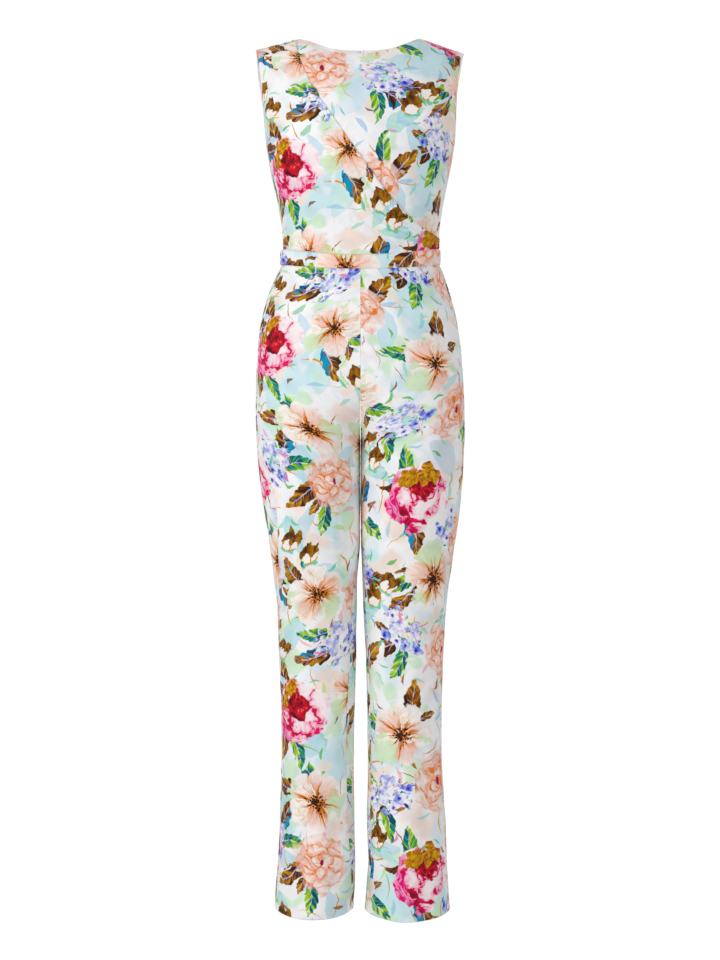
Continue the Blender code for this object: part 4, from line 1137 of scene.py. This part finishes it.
def reverseCloth(name):
    # The print seen from the back: faint, with only its masses showing through, and a painted glow.
    made, shader = newMaterial(name)
    cloth = Socket.node("UVMap", {"uv_map": "cloth"})
    large = noise(cloth, 14.0, 2.0)
    small = noise(vector("ADD", cloth, (0.7, 0.3, 0.0)), 34.0, 2.0)
    colour = mix(ink(242, 238, 241), ink(243, 224, 220), smooth(large, 0.50, 0.64))
    colour = mix(colour, ink(220, 236, 238), smooth(large, 0.46, 0.34))
    colour = mix(colour, ink(206, 200, 206), smooth(small, 0.62, 0.70) * 0.6)
    feed(shader, {
        "Base Color": colour,
        "Emission Color": colour,  # painted glow: emission that stands in for light coming through the thin cloth, and brightens the inside where it lies in shade
        "Emission Strength": 0.19,
        "Roughness": 0.66 + large * 0.1,
        "Normal": weaveBump(cloth, 0.3),
    })
    return made


def tapeCloth(name):
    made, shader = newMaterial(name)
    spot = ownPlace()
    ribs = abs((split(spot)[2] * (math.pi / tapeRib)).maths("SINE"))
    grain = noise(spot, 900.0, 2.0, 0.5, "3D")
    colour = mix(ink(240, 240, 238), ink(222, 222, 220), ribs * 0.5 + grain * 0.3)
    feed(shader, {
        "Base Color": colour,
        # painted glow: the tape gives off a little of its own colour as light, though it is no lamp
        "Emission Color": colour,
        "Emission Strength": 0.15,
        "Roughness": 0.70 + grain * 0.12,
        "Normal": bump(ribs + grain * 0.4, 0.4, 0.0001),
    })
    return made


def brushedMetal(name, tint):
    made, shader = newMaterial(name)
    spot = ownPlace()
    lines = noise(vector("MULTIPLY", spot, (1.0, 1.0, 0.12)), 5200.0, 2.0, 0.6, "3D")
    wear = noise(spot, 420.0, 2.0, 0.5, "3D")
    feed(shader, {
        "Base Color": mix(tint, ink(150, 150, 156), smooth(wear, 0.45, 0.75) * 0.5),
        "Metallic": 1.0,
        "Roughness": 0.26 + lines * 0.14 + wear * 0.08,
        "Normal": bump(lines, 0.15, 0.00002),
    })
    return made


clothPair = (printedCloth("printed cloth", makePrint()), reverseCloth("reverse of the print"))

# The pieces. Print is where on the printed cloth each was cut, in metres. Sewn and free are the
# sides of its grid: low and top are its lowest and highest rows, start and end its first and last
# columns.

wrap = {
    "name": "wrap_front", "node": "bodice_front_wrap", "seed": 3, "print": (0.170, 0.335),
    "held": "stretched", "sewn": ["low", "start"], "free": ["top"],
    "on": ["waistband_front_cloth", "back_right"],
    "even": (-0.4, 0.8),  # across, from where and over how far the rows come to lie evenly
    "pleats": 4, "height": 0.0030, "lean": 2.2, "narrow": 1.2,
    "foot": 6,  # they come in over this part of the rows
    "reach": (-0.55, 0.45),  # across, where the pleats begin and where they are full
    "seam": (0.50, 0.46, 0.82),  # across, from where, over how far and by how much they die out
}


def makeWrap():
    columns = frontColumns(-1)
    top = np.where(columns <= wrapStart + tiny, topDown(columns, "front"), wrapLine(columns))
    low = seamDown(bodiceEnd, columns, "front") - seamGap / 2
    start, far = wrap["even"]
    rows, level = spreadRows(low, top, ease((columns - start) / far))
    start, full = wrap["reach"]
    reach = ease((columns - start) / (full - start))
    start, far, less = wrap["seam"]
    reach = reach * (1 - less * ease((columns - start) / far))
    phase = (wrap["pleats"] * level) % 1.0
    fold = np.sin(np.pi * phase ** wrap["lean"]) ** wrap["narrow"]
    rise = wrap["height"] * reach * fold * ease(wrap["foot"] * level)
    bodicePanel(wrap, "front", columns, rows, rise)


under = {
    "name": "under_front", "node": "bodice_front_under", "seed": 5, "print": (0.150, 0.120),
    "held": "stretched", "sewn": ["end"], "free": ["top", "low", "start"],
    "on": ["wrap_front", "back_left"],
    "least": 0.003,  # from its own top to the wrap's edge
    "lap": 0.026, "lapShare": 0.6, "shoulderLap": 0.050,  # beneath the wrap's edge
    "sink": 0.0021,
    "side": (0.35, 0.2, 0.0019),  # towards the left: across from where, over how far, how much more
    "deeper": 0.14, "slower": 0.8,  # more with each metre beneath the edge, and how much less so
    "near": (0.030, 0.026),  # above the wrap's edge: from how far, and over how far, it sinks
    "shoulder": (0.12, 0.15, 0.13),  # the same across, but only this far down
}


def makeUnder():
    columns = frontColumns(underStart)
    top = topDown(columns, "front")
    edge = np.maximum(wrapLine(columns), top + under["least"])
    waist = seamDown(bodiceEnd, columns, "front") - seamGap / 2
    lap = np.minimum(under["lap"], under["lapShare"] * (waist - edge))
    aside = under["shoulderLap"] * (columns - underStart) / (wrapStart - underStart)
    lap = lap + np.where(columns < wrapStart, aside, 0)
    rows, _ = spreadRows(edge + lap, top)
    across = np.broadcast_to(columns, rows.shape)
    beneath = np.maximum(0, rows - edge) * under["slower"]
    aside = np.maximum(0, wrapStart - across) * shoulderOut["right"]
    above, far = under["near"]
    near = ease((rows - edge + above) / far)
    high, start, far = under["shoulder"]
    beside = ease((wrapStart + start - across) / far)
    near = np.where(rows < high, np.maximum(near, beside), near)
    start, far, more = under["side"]
    deeper = under["deeper"] * np.maximum(beneath, aside) + more * ease((across - start) / far)
    bodicePanel(under, "front", columns, rows, -(under["sink"] + deeper) * near)


backs = {
    "left": {
        "node": "bodice_back_left", "seed": 7, "print": (0.150, 0.280), "on": ["under_front"],
    },
    "right": {
        "node": "bodice_back_right", "seed": 11, "print": (0.310, 0.260), "on": ["wrap_front"],
    },
}
backShared = {"held": "hung", "sewn": ["low", "start", "end"], "free": ["top"]}
backCount = 10


def makeBack(side):
    piece = {"name": "back_" + side, **backs[side], **backShared}
    sign = 1 if side == "left" else -1
    out = shoulderOut[side]
    columns = spreadColumns(seamGap / 2 / out, 1, backCount, [neckHalf / out])
    columns = sign * finerTurns(columns, rowParts)
    low = seamDown(bodiceEnd, columns, "back") - seamGap / 2
    rows, _ = spreadRows(low, topDown(columns, "back"))
    bodicePanel(piece, "back", columns, rows)


# The waistband is cut double, and stands a little proud of the seams above and below it.

band = {"right": 0.1364, "left": 0.1360, "front": 0.0968, "back": 0.0938, "square": 2.1}
bandMiddle = seamGap / 2 / band["left"]
bandStand = through([0.0, 0.07, 0.50, 0.93, 1.0], [0.0, 0.95, 1.15, 0.95, 0.0])  # by fall
bandRows, bandParts, bandRelief = 12, 4, 0.6
bandShared = {"held": "stretched", "sewn": ["low", "top", "start", "end"], "free": []}
bands = [
    {
        "node": "waistband_front", "face": "front", "seed": 13, "print": (0.190, 0.180),
        "ends": (-1, 1), "count": 20,
        "on": ["trouser_front_left_cloth", "trouser_front_right_cloth"],
    },
    {
        "node": "waistband_back_left", "face": "back", "seed": 17, "print": (0.020, 0.410),
        "ends": (bandMiddle, 1), "count": 10, "on": ["trouser_back_left_cloth"],
    },
    {
        "node": "waistband_back_right", "face": "back", "seed": 19, "print": (0.260, 0.150),
        "ends": (-1, -bandMiddle), "count": 10, "on": ["trouser_back_right_cloth"],
    },
]


def bandPoint(across, fall, face):
    # Fall goes from 0 at the upper seam to 1 at the lower one.
    high = seamDown(bodiceEnd, across, face) + seamGap / 2
    low = seamDown(trouserStart, across, face) - seamGap / 2

    def ring(half, depth, square):
        roundOff = (1 - np.minimum(1, abs(across)) ** square) ** (1 / square)
        return np.stack([across * half, depth * roundOff], -1)

    above = ring(halfWidth(bodice, across, high), bodice[face](high), bodice["square"](high))
    below = ring(halfWidth(legOuter, across, low), legDepth[face](low), legDepth["square"](low))
    own = ring(bySide(across, band["left"], band["right"]), band[face], band["square"])
    plan = above + (below - above) * fall[..., None]
    plan = plan + (own - plan) * bandStand(fall)[..., None]
    depth = plan[..., 1] + seamGap / 2
    return np.stack([plan[..., 0], depth * facing[face], -(high + (low - high) * fall)], -1)


def makeBand(piece):
    piece = {"name": piece["node"] + "_cloth", **piece, **bandShared}
    face = piece["face"]
    columns = finerTurns(spreadColumns(*piece["ends"], piece["count"]), bandParts)
    across, fall = np.meshgrid(columns, finer(np.linspace(1, 0, bandRows), 1))
    base = bandPoint(across, fall, face)
    outward = facingOut(base)
    edges, hold = edgeRelief(base, piece["sewn"], piece["free"])
    rise = wander(base, piece["seed"]) * hold + edges * bandRelief
    over, up = alongGrid(base, 1), alongGrid(base[::-1], 0)[::-1]
    uv = np.stack([over * -facing[face], up], -1) + piece["print"]
    finishPiece(piece, base, base + outward * rise[..., None], outward, uv, bandWall)


# The trousers. Turn goes round a leg from its outer side, by the front above 0, in degrees.

legOuter = table(
    "down right left",
    (0.3790, 0.1330, 0.1330),
    (0.3880, 0.1356, 0.1356),
    (0.4012, 0.1420, 0.1415),
    (0.4182, 0.1496, 0.1472),
    (0.4352, 0.1565, 0.1525),
    (0.4607, 0.1640, 0.1600),
    (0.4947, 0.1708, 0.1662),
    (0.5457, 0.1760, 0.1720),
    (0.6137, 0.1778, 0.1762),
    (0.6647, 0.1776, 0.1776),
    (0.6987, 0.1754, 0.1762),
    (0.7497, 0.1708, 0.1735),
    (0.8007, 0.1640, 0.1690),
    (0.8517, 0.1560, 0.1612),
    (0.8857, 0.1508, 0.1560),
    (0.9197, 0.1466, 0.1513),
    (0.9537, 0.1424, 0.1470),
    (0.9877, 0.1402, 0.1438),
    (1.0557, 0.1384, 0.1408),
    (1.1237, 0.1354, 0.1382),
    (1.1917, 0.1340, 0.1380),
    (1.2597, 0.1352, 0.1403),
    (1.3277, 0.1371, 0.1442),
    (1.3957, 0.1403, 0.1472),
    (1.4297, 0.1432, 0.1490),
    (1.4840, 0.1458, 0.1522),
)
legMiddle = table(
    "down out",
    (0.379, 0.00015),
    (0.410, 0.003),
    (0.440, 0.011),
    (0.500, 0.032),
    (0.560, 0.054),
    (0.620, 0.074),
    (0.683, 0.08885),
)["out"]
legInner = table(
    "down right left",
    (0.683, 0.00015, 0.00015),
    (0.780, 0.00040, 0.00040),
    (0.850, 0.00080, 0.00080),
    (0.885, 0.0028, 0.0022),
    (0.920, 0.0060, 0.0034),
    (0.990, 0.0070, 0.0060),
    (1.056, 0.0076, 0.0095),
    (1.124, 0.0093, 0.0112),
    (1.192, 0.0112, 0.0126),
    (1.260, 0.0112, 0.0122),
    (1.328, 0.0102, 0.0112),
    (1.396, 0.0092, 0.0132),
    (1.430, 0.0096, 0.0108),
    (1.484, 0.0122, 0.0064),
)
legDepth = table(
    "down front back square",
    (0.379, 0.0940, 0.0905, 2.1),
    (0.410, 0.0985, 0.0990, 2.1),
    (0.450, 0.1065, 0.1120, 2.2),
    (0.500, 0.1130, 0.1270, 2.3),
    (0.550, 0.1145, 0.1340, 2.3),
    (0.600, 0.1120, 0.1330, 2.2),
    (0.650, 0.1050, 0.1220, 2.1),
    (0.683, 0.0990, 0.1120, 2.0),
    (0.750, 0.0905, 0.0980, 2.0),
    (0.850, 0.0800, 0.0860, 2.0),
    (0.950, 0.0725, 0.0775, 2.0),
    (1.056, 0.0670, 0.0710, 2.0),
    (1.200, 0.0645, 0.0710, 2.0),
    (1.330, 0.0660, 0.0715, 2.0),
    (1.484, 0.0710, 0.0725, 2.0),
)
seamTurn = table(
    "down side_right side_left inner_right inner_left",
    (0.379, 14, 12, 0, 0),
    (0.450, 16, 12, 0, 0),
    (0.560, 11, 10, 0, 0),
    (0.640, 13, 9, 0, 0),
    (0.683, 22, 12, 0, 0),
    (0.750, 40, 20, 4, 3),
    (0.800, 43, 28, 8, 6),
    (0.851, 38, 31, 14, 10),
    (0.920, 28, 28, 22, 14),
    (0.980, 17, 20, 27, 17),
    (1.056, 12, 15, 32, 19),
    (1.160, 12, 13, 37, 22),
    (1.330, 14, 13, 33, 21),
    (1.400, 14, 13, 26, 20),
    (1.484, 12, 12, 16, 18),
)
folds = {  # turn, start and end down, how far it winds, half width in degrees, height
    "right": [
        (60, 0.640, 1.010, -8, 15, -0.0034),
        (86, 0.700, 1.180, 4, 15, 0.0020),
        (128, 0.560, 0.960, 14, 13, -0.0036),
        (112, 0.930, 1.230, 16, 14, -0.0024),
        (66, 1.080, 1.470, 8, 15, -0.0026),
        (96, 1.180, 1.474, -4, 13, 0.0022),
        (126, 1.220, 1.474, -6, 12, -0.0024),
        (-50, 0.640, 0.980, -6, 15, -0.0040),
        (-96, 0.660, 0.940, -14, 14, -0.0038),
        (-80, 0.960, 1.330, 8, 15, -0.0028),
        (-124, 1.000, 1.460, 6, 15, -0.0026),
        (-52, 1.180, 1.474, 8, 14, 0.0022),
    ],
    "left": [
        (56, 0.660, 0.960, -6, 15, -0.0030),
        (84, 0.760, 1.240, -4, 14, 0.0018),
        (124, 0.540, 0.980, 18, 13, -0.0040),
        (106, 0.980, 1.300, 12, 14, -0.0026),
        (60, 1.120, 1.477, 6, 15, -0.0028),
        (90, 1.230, 1.477, 6, 13, 0.0024),
        (132, 1.160, 1.477, -10, 12, -0.0024),
        (-46, 0.650, 0.960, -8, 15, -0.0038),
        (-92, 0.660, 0.960, -16, 14, -0.0040),
        (-76, 0.980, 1.300, 6, 15, -0.0026),
        (-120, 1.020, 1.450, 8, 15, -0.0028),
        (-58, 1.200, 1.477, 6, 14, 0.0020),
    ],
}
levels = [  # down, of the coarse rows
    0.3856, 0.407, 0.434, 0.465, 0.500, 0.540, 0.577, 0.608, 0.634, 0.654, 0.668, 0.678,
    0.683, 0.692, 0.710, 0.740, 0.780, 0.825, 0.872, 0.920, 0.968, 1.018, 1.072, 1.128,
    1.184, 1.240, 1.296, 1.350, 1.400, 1.442, 1.474,
]
leg = {
    "rowStep": 0.0065, "parts": 5,  # finer rows and columns
    "waistEase": 0.080,  # below the waist seam, to where its curve has died out
    "hemDip": 0.0065, "hemEase": 0.120,  # at the front, and above the hem, from where
    "openFold": 0.03,  # a fold that ends this close to the hem runs out through it
    "innerGuard": (0.2, 0.02),  # below the crotch and from the middle, where folds come in slowly
    "curve": 0.68,  # how round the crotch curve is
    "near": (0.004, 1.5),  # down and round to the points beside a place that give its way out
}


def crotchShare(down, height):
    t = np.clip((down - crotch + height) / height, 0, 1)
    return np.maximum(0, 1 - t * t) ** leg["curve"]


def legSizes(side, down, front):
    # The middle of a leg's ring, its half widths outwards and inwards, its depth and squareness.
    outer = legOuter[side](down)
    depth = np.where(front, legDepth["front"](down), legDepth["back"](down))
    shares = [crotchShare(down, crotchCurve[face]) for face in facing]
    share = np.where(front, *shares)
    lower = down >= crotch
    inner = legInner[side](down)
    middle = np.where(lower, (outer + inner) / 2, legMiddle(down))
    reach = middle / np.sqrt(np.maximum(1e-4, 1 - share * share))
    innerHalf = np.where(lower, middle - inner, reach)
    return middle, outer - middle, innerHalf, depth, legDepth["square"](down)


def lastTurn(side, down, front):
    # Where the front or back ends: at the inner seam, or above the crotch at the middle.
    middle, _, innerHalf, _, _ = legSizes(side, down, front)
    above = 90 + np.degrees(np.arcsin(np.clip((middle - seamGap / 2) / innerHalf, 0, 1)))
    return np.where(down >= crotch, 180.0, above)


def legPoint(side, turn, level):
    # Level is down before the waist and the hem curve.
    front = ((turn >= 0) & (turn <= 180)) | (turn < -180)
    angle = np.radians(turn)
    c, s = np.cos(angle), np.sin(angle)
    waist = np.where(front, trouserStart["front"], trouserStart["back"])
    dip = hem[side] - hem["right"] + leg["hemDip"] * np.maximum(0, s) ** 2
    down = level + waist * s * s * (1 - ease((level - trouserStart["side"]) / leg["waistEase"]))
    down = down + dip * ease((level - hem["right"] + leg["hemEase"]) / leg["hemEase"])
    middle, outerHalf, innerHalf, depth, square = legSizes(side, level, front)
    x = middle + np.where(c >= 0, outerHalf * np.maximum(0, c) ** (2 / square), innerHalf * c)
    y = -np.sign(s) * depth * abs(s) ** np.where(c >= 0, 2 / square, 1)
    flat = unit(np.stack([c * depth, -s * outerHalf], -1))
    around = np.where(turn >= -180, turn, turn + 360)
    rise = np.zeros(x.shape)
    for place, start, end, wind, spread, height in folds[side]:
        t = (level - start) / (end - start)
        swell = np.sin(np.pi * np.clip(t, 0, 1)) ** 2
        if end > hem["right"] - leg["openFold"]:
            swell = np.where(t > 0.5, 1.0, swell)
        fold = height * swell * bell(around - place - wind * t, spread)
        rise += np.where((t > 0) & (t < 1), fold, 0)
    below, beside = leg["innerGuard"]
    guard = np.where(level < crotch + below, ease((x - seamGap) / beside), 1.0)
    x = x + flat[..., 0] * rise * guard
    y = y + flat[..., 1] * rise
    return np.stack([x if side == "left" else -x, y, -down], -1)


def legOutward(side, turn, level):
    # The points beside a place stay on its own side of the crotch.
    step, swing = leg["near"]
    above, below = level - step, level + step
    below = np.where(level < crotch, np.minimum(below, crotch - 1e-5), below)
    above = np.where(level < crotch, above, np.maximum(above, crotch))
    across = legPoint(side, turn + swing, level) - legPoint(side, turn - swing, level)
    down = legPoint(side, turn, below) - legPoint(side, turn, above)
    found = unit(np.cross(across, down))
    return -found if side == "right" else found


legShared = {"held": "hung", "sewn": ["top", "start", "end"], "free": ["low"]}
legs = [
    {
        "node": "trouser_front_left", "side": "left", "face": "front", "seed": 23, "count": 13,
        "print": (0.290, 0.300), "on": ["waistband_front_cloth"],
    },
    {
        "node": "trouser_front_right", "side": "right", "face": "front", "seed": 29, "count": 13,
        "print": (0.070, 0.420), "on": ["waistband_front_cloth"],
    },
    {
        "node": "trouser_back_left", "side": "left", "face": "back", "seed": 31, "count": 15,
        "print": (0.080, 0.480), "on": ["waistband_back_left_cloth"],
    },
    {
        "node": "trouser_back_right", "side": "right", "face": "back", "seed": 37, "count": 15,
        "print": (0.340, 0.180), "on": ["waistband_back_right_cloth"],
    },
]


def legRows():
    fine = []
    for a, b in zip(levels, levels[1:]):
        parts = max(1, math.ceil((b - a) / leg["rowStep"]))
        fine += [a + (b - a) * k / parts for k in range(parts)]
    return finer((fine + [levels[-1]])[::-1], 1)[:, None]


def makeLeg(piece):
    piece = {"name": piece["node"] + "_cloth", **piece, **legShared}
    side, face = piece["side"], piece["face"]
    level = legRows()
    front = np.full(level.shape, face == "front")
    sideTurn, innerTurn = seamTurn["side_" + side](level), seamTurn["inner_" + side](level)
    gap = np.degrees(seamGap / 2 / legSizes(side, level, front)[3])
    lower = level >= crotch
    last = lastTurn(side, level, front)
    if face == "front":
        start, end = sideTurn + gap, last - np.where(lower, innerTurn + gap, 0)
    else:
        start, end = sideTurn - gap, -last - np.where(lower, innerTurn - gap, 0)
    turn = start + (end - start) * finer(np.linspace(0, 1, piece["count"] + 1), leg["parts"])
    level = np.broadcast_to(level, turn.shape)
    base = legPoint(side, turn, level)
    outward = legOutward(side, turn, level)
    edges, hold = edgeRelief(base, piece["sewn"], piece["free"])
    own = crease(base, "trouser " + face) + wander(base, piece["seed"])
    points = base + outward * (own * hold + edges)[..., None]
    middle = turn.shape[1] // 2
    over = alongGrid(base, 1)
    over = over - over[:, middle:middle + 1]
    down = alongGrid(base[::-1], 0)[::-1, middle:middle + 1]
    rightward = 1 if (side == "left") != (face == "front") else -1
    uv = np.stack([over * rightward, np.broadcast_to(down, over.shape)], -1) + piece["print"]
    finishPiece(piece, base, points, outward, uv, clothWall)


tape = {"node": "zip_tape", "name": "zip_tape_cloth", "flat": (0.022, 0.540)}


def dress(made, material):
    made.data.materials.clear()
    made.data.materials.append(material)


def makeTape():
    made = addObject(tape["name"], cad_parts[tape["node"]].data.copy())
    dress(made, tapeCloth("zip tape"))
    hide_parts(tape["node"])
    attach(made, "garment")


makeWrap()
makeUnder()
for side in ("left", "right"):
    makeBack(side)
for piece in bands:
    makeBand(piece)
for piece in legs:
    makeLeg(piece)
makeTape()
print("cloth and tape made")

# The slider, pull tab, hook and eye keep their shapes.
metals = {
    "zip_slider": ink(226, 226, 230), "zip_pull": ink(230, 230, 234),
    "neck_hook": ink(214, 214, 218), "neck_eye": ink(214, 214, 218),
}
for node, tint in metals.items():
    dress(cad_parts[node], brushedMetal(node + " metal", tint))
print("metal made")


# Floor, light and camera

floor = {"down": 1.492, "radius": 1.6, "points": 96, "fade": (1.25, 0.35)}
shine = {"light": 0.56, "seen": 0.46}  # of the world, and more where the camera sees it
lights = {  # place, aim, size in metres, watts
    "key": ((-2.1, -2.1, 0.1), (0, 0, -0.8), (1.0, 1.6), 36),
    "fill": ((1.9, -2.8, -0.5), (0, 0, -0.9), (1.4, 2.2), 13),
    "rim": ((0.6, 2.4, 1.0), (0, 0, -0.6), (1.6, 1.0), 22),
}
view = {"lens": 81.6, "sensor_width": 36, "shift_x": -0.0005, "shift_y": -0.1225, "clip_end": 100}
viewFrom = (0, -3.7, -0.55)


def makeFloor():
    mesh = bpy.data.meshes.new("floor")
    count, radius = floor["points"], floor["radius"]
    turns = [2 * math.pi * k / count for k in range(count)]
    edge = [(radius * math.cos(t), radius * math.sin(t), -floor["down"]) for t in turns]
    mesh.from_pydata(edge, [], [tuple(range(count))])
    made = addObject("floor", mesh)
    material, shader = newMaterial("floor")
    spot = ownPlace()
    grain = noise(spot, 3.0, 2.0)
    feed(shader, {
        "Base Color": mix(ink(250, 250, 250), ink(247, 247, 247), grain),
        "Roughness": 0.85 + grain * 0.1,
        "Alpha": smooth(lengthOf(spot), *floor["fade"]),
    })
    mesh.materials.append(material)


def makeWorld():
    world = bpy.data.worlds.new("studio")
    world.use_nodes = True
    world.node_tree.nodes.clear()
    Socket.tree = world.node_tree
    seen = Socket.node("LightPath", None, None, 0)
    strength = shine["light"] + seen * shine["seen"]
    back = Socket.node("Background", None, {0: (1, 1, 1, 1), 1: strength})
    output = Socket.node("OutputWorld", None, None, None)
    world.node_tree.links.new(back.out, output.inputs[0])
    bpy.context.scene.world = world


def makeLight(name, place, aim, size, power):
    light = bpy.data.lights.new(name, "AREA")
    light.shape = "RECTANGLE"
    light.size, light.size_y = size
    light.energy = power
    made = addObject(name, light)
    made.location = place
    made.rotation_euler = (Vector(aim) - Vector(place)).to_track_quat("-Z", "Y").to_euler()


def makeCamera():
    camera = bpy.data.cameras.new("camera")
    for name, value in view.items():
        setattr(camera, name, value)
    made = addObject("camera", camera)
    made.location = viewFrom
    made.rotation_euler = (math.pi / 2, 0, 0)
    bpy.context.scene.camera = made


makeFloor()
makeWorld()
for name, settings in lights.items():
    makeLight(name, *settings)
makeCamera()
bpy.context.scene.view_settings.view_transform = "Standard"
bpy.context.scene.view_settings.look = "None"
print("floor, light and camera made")
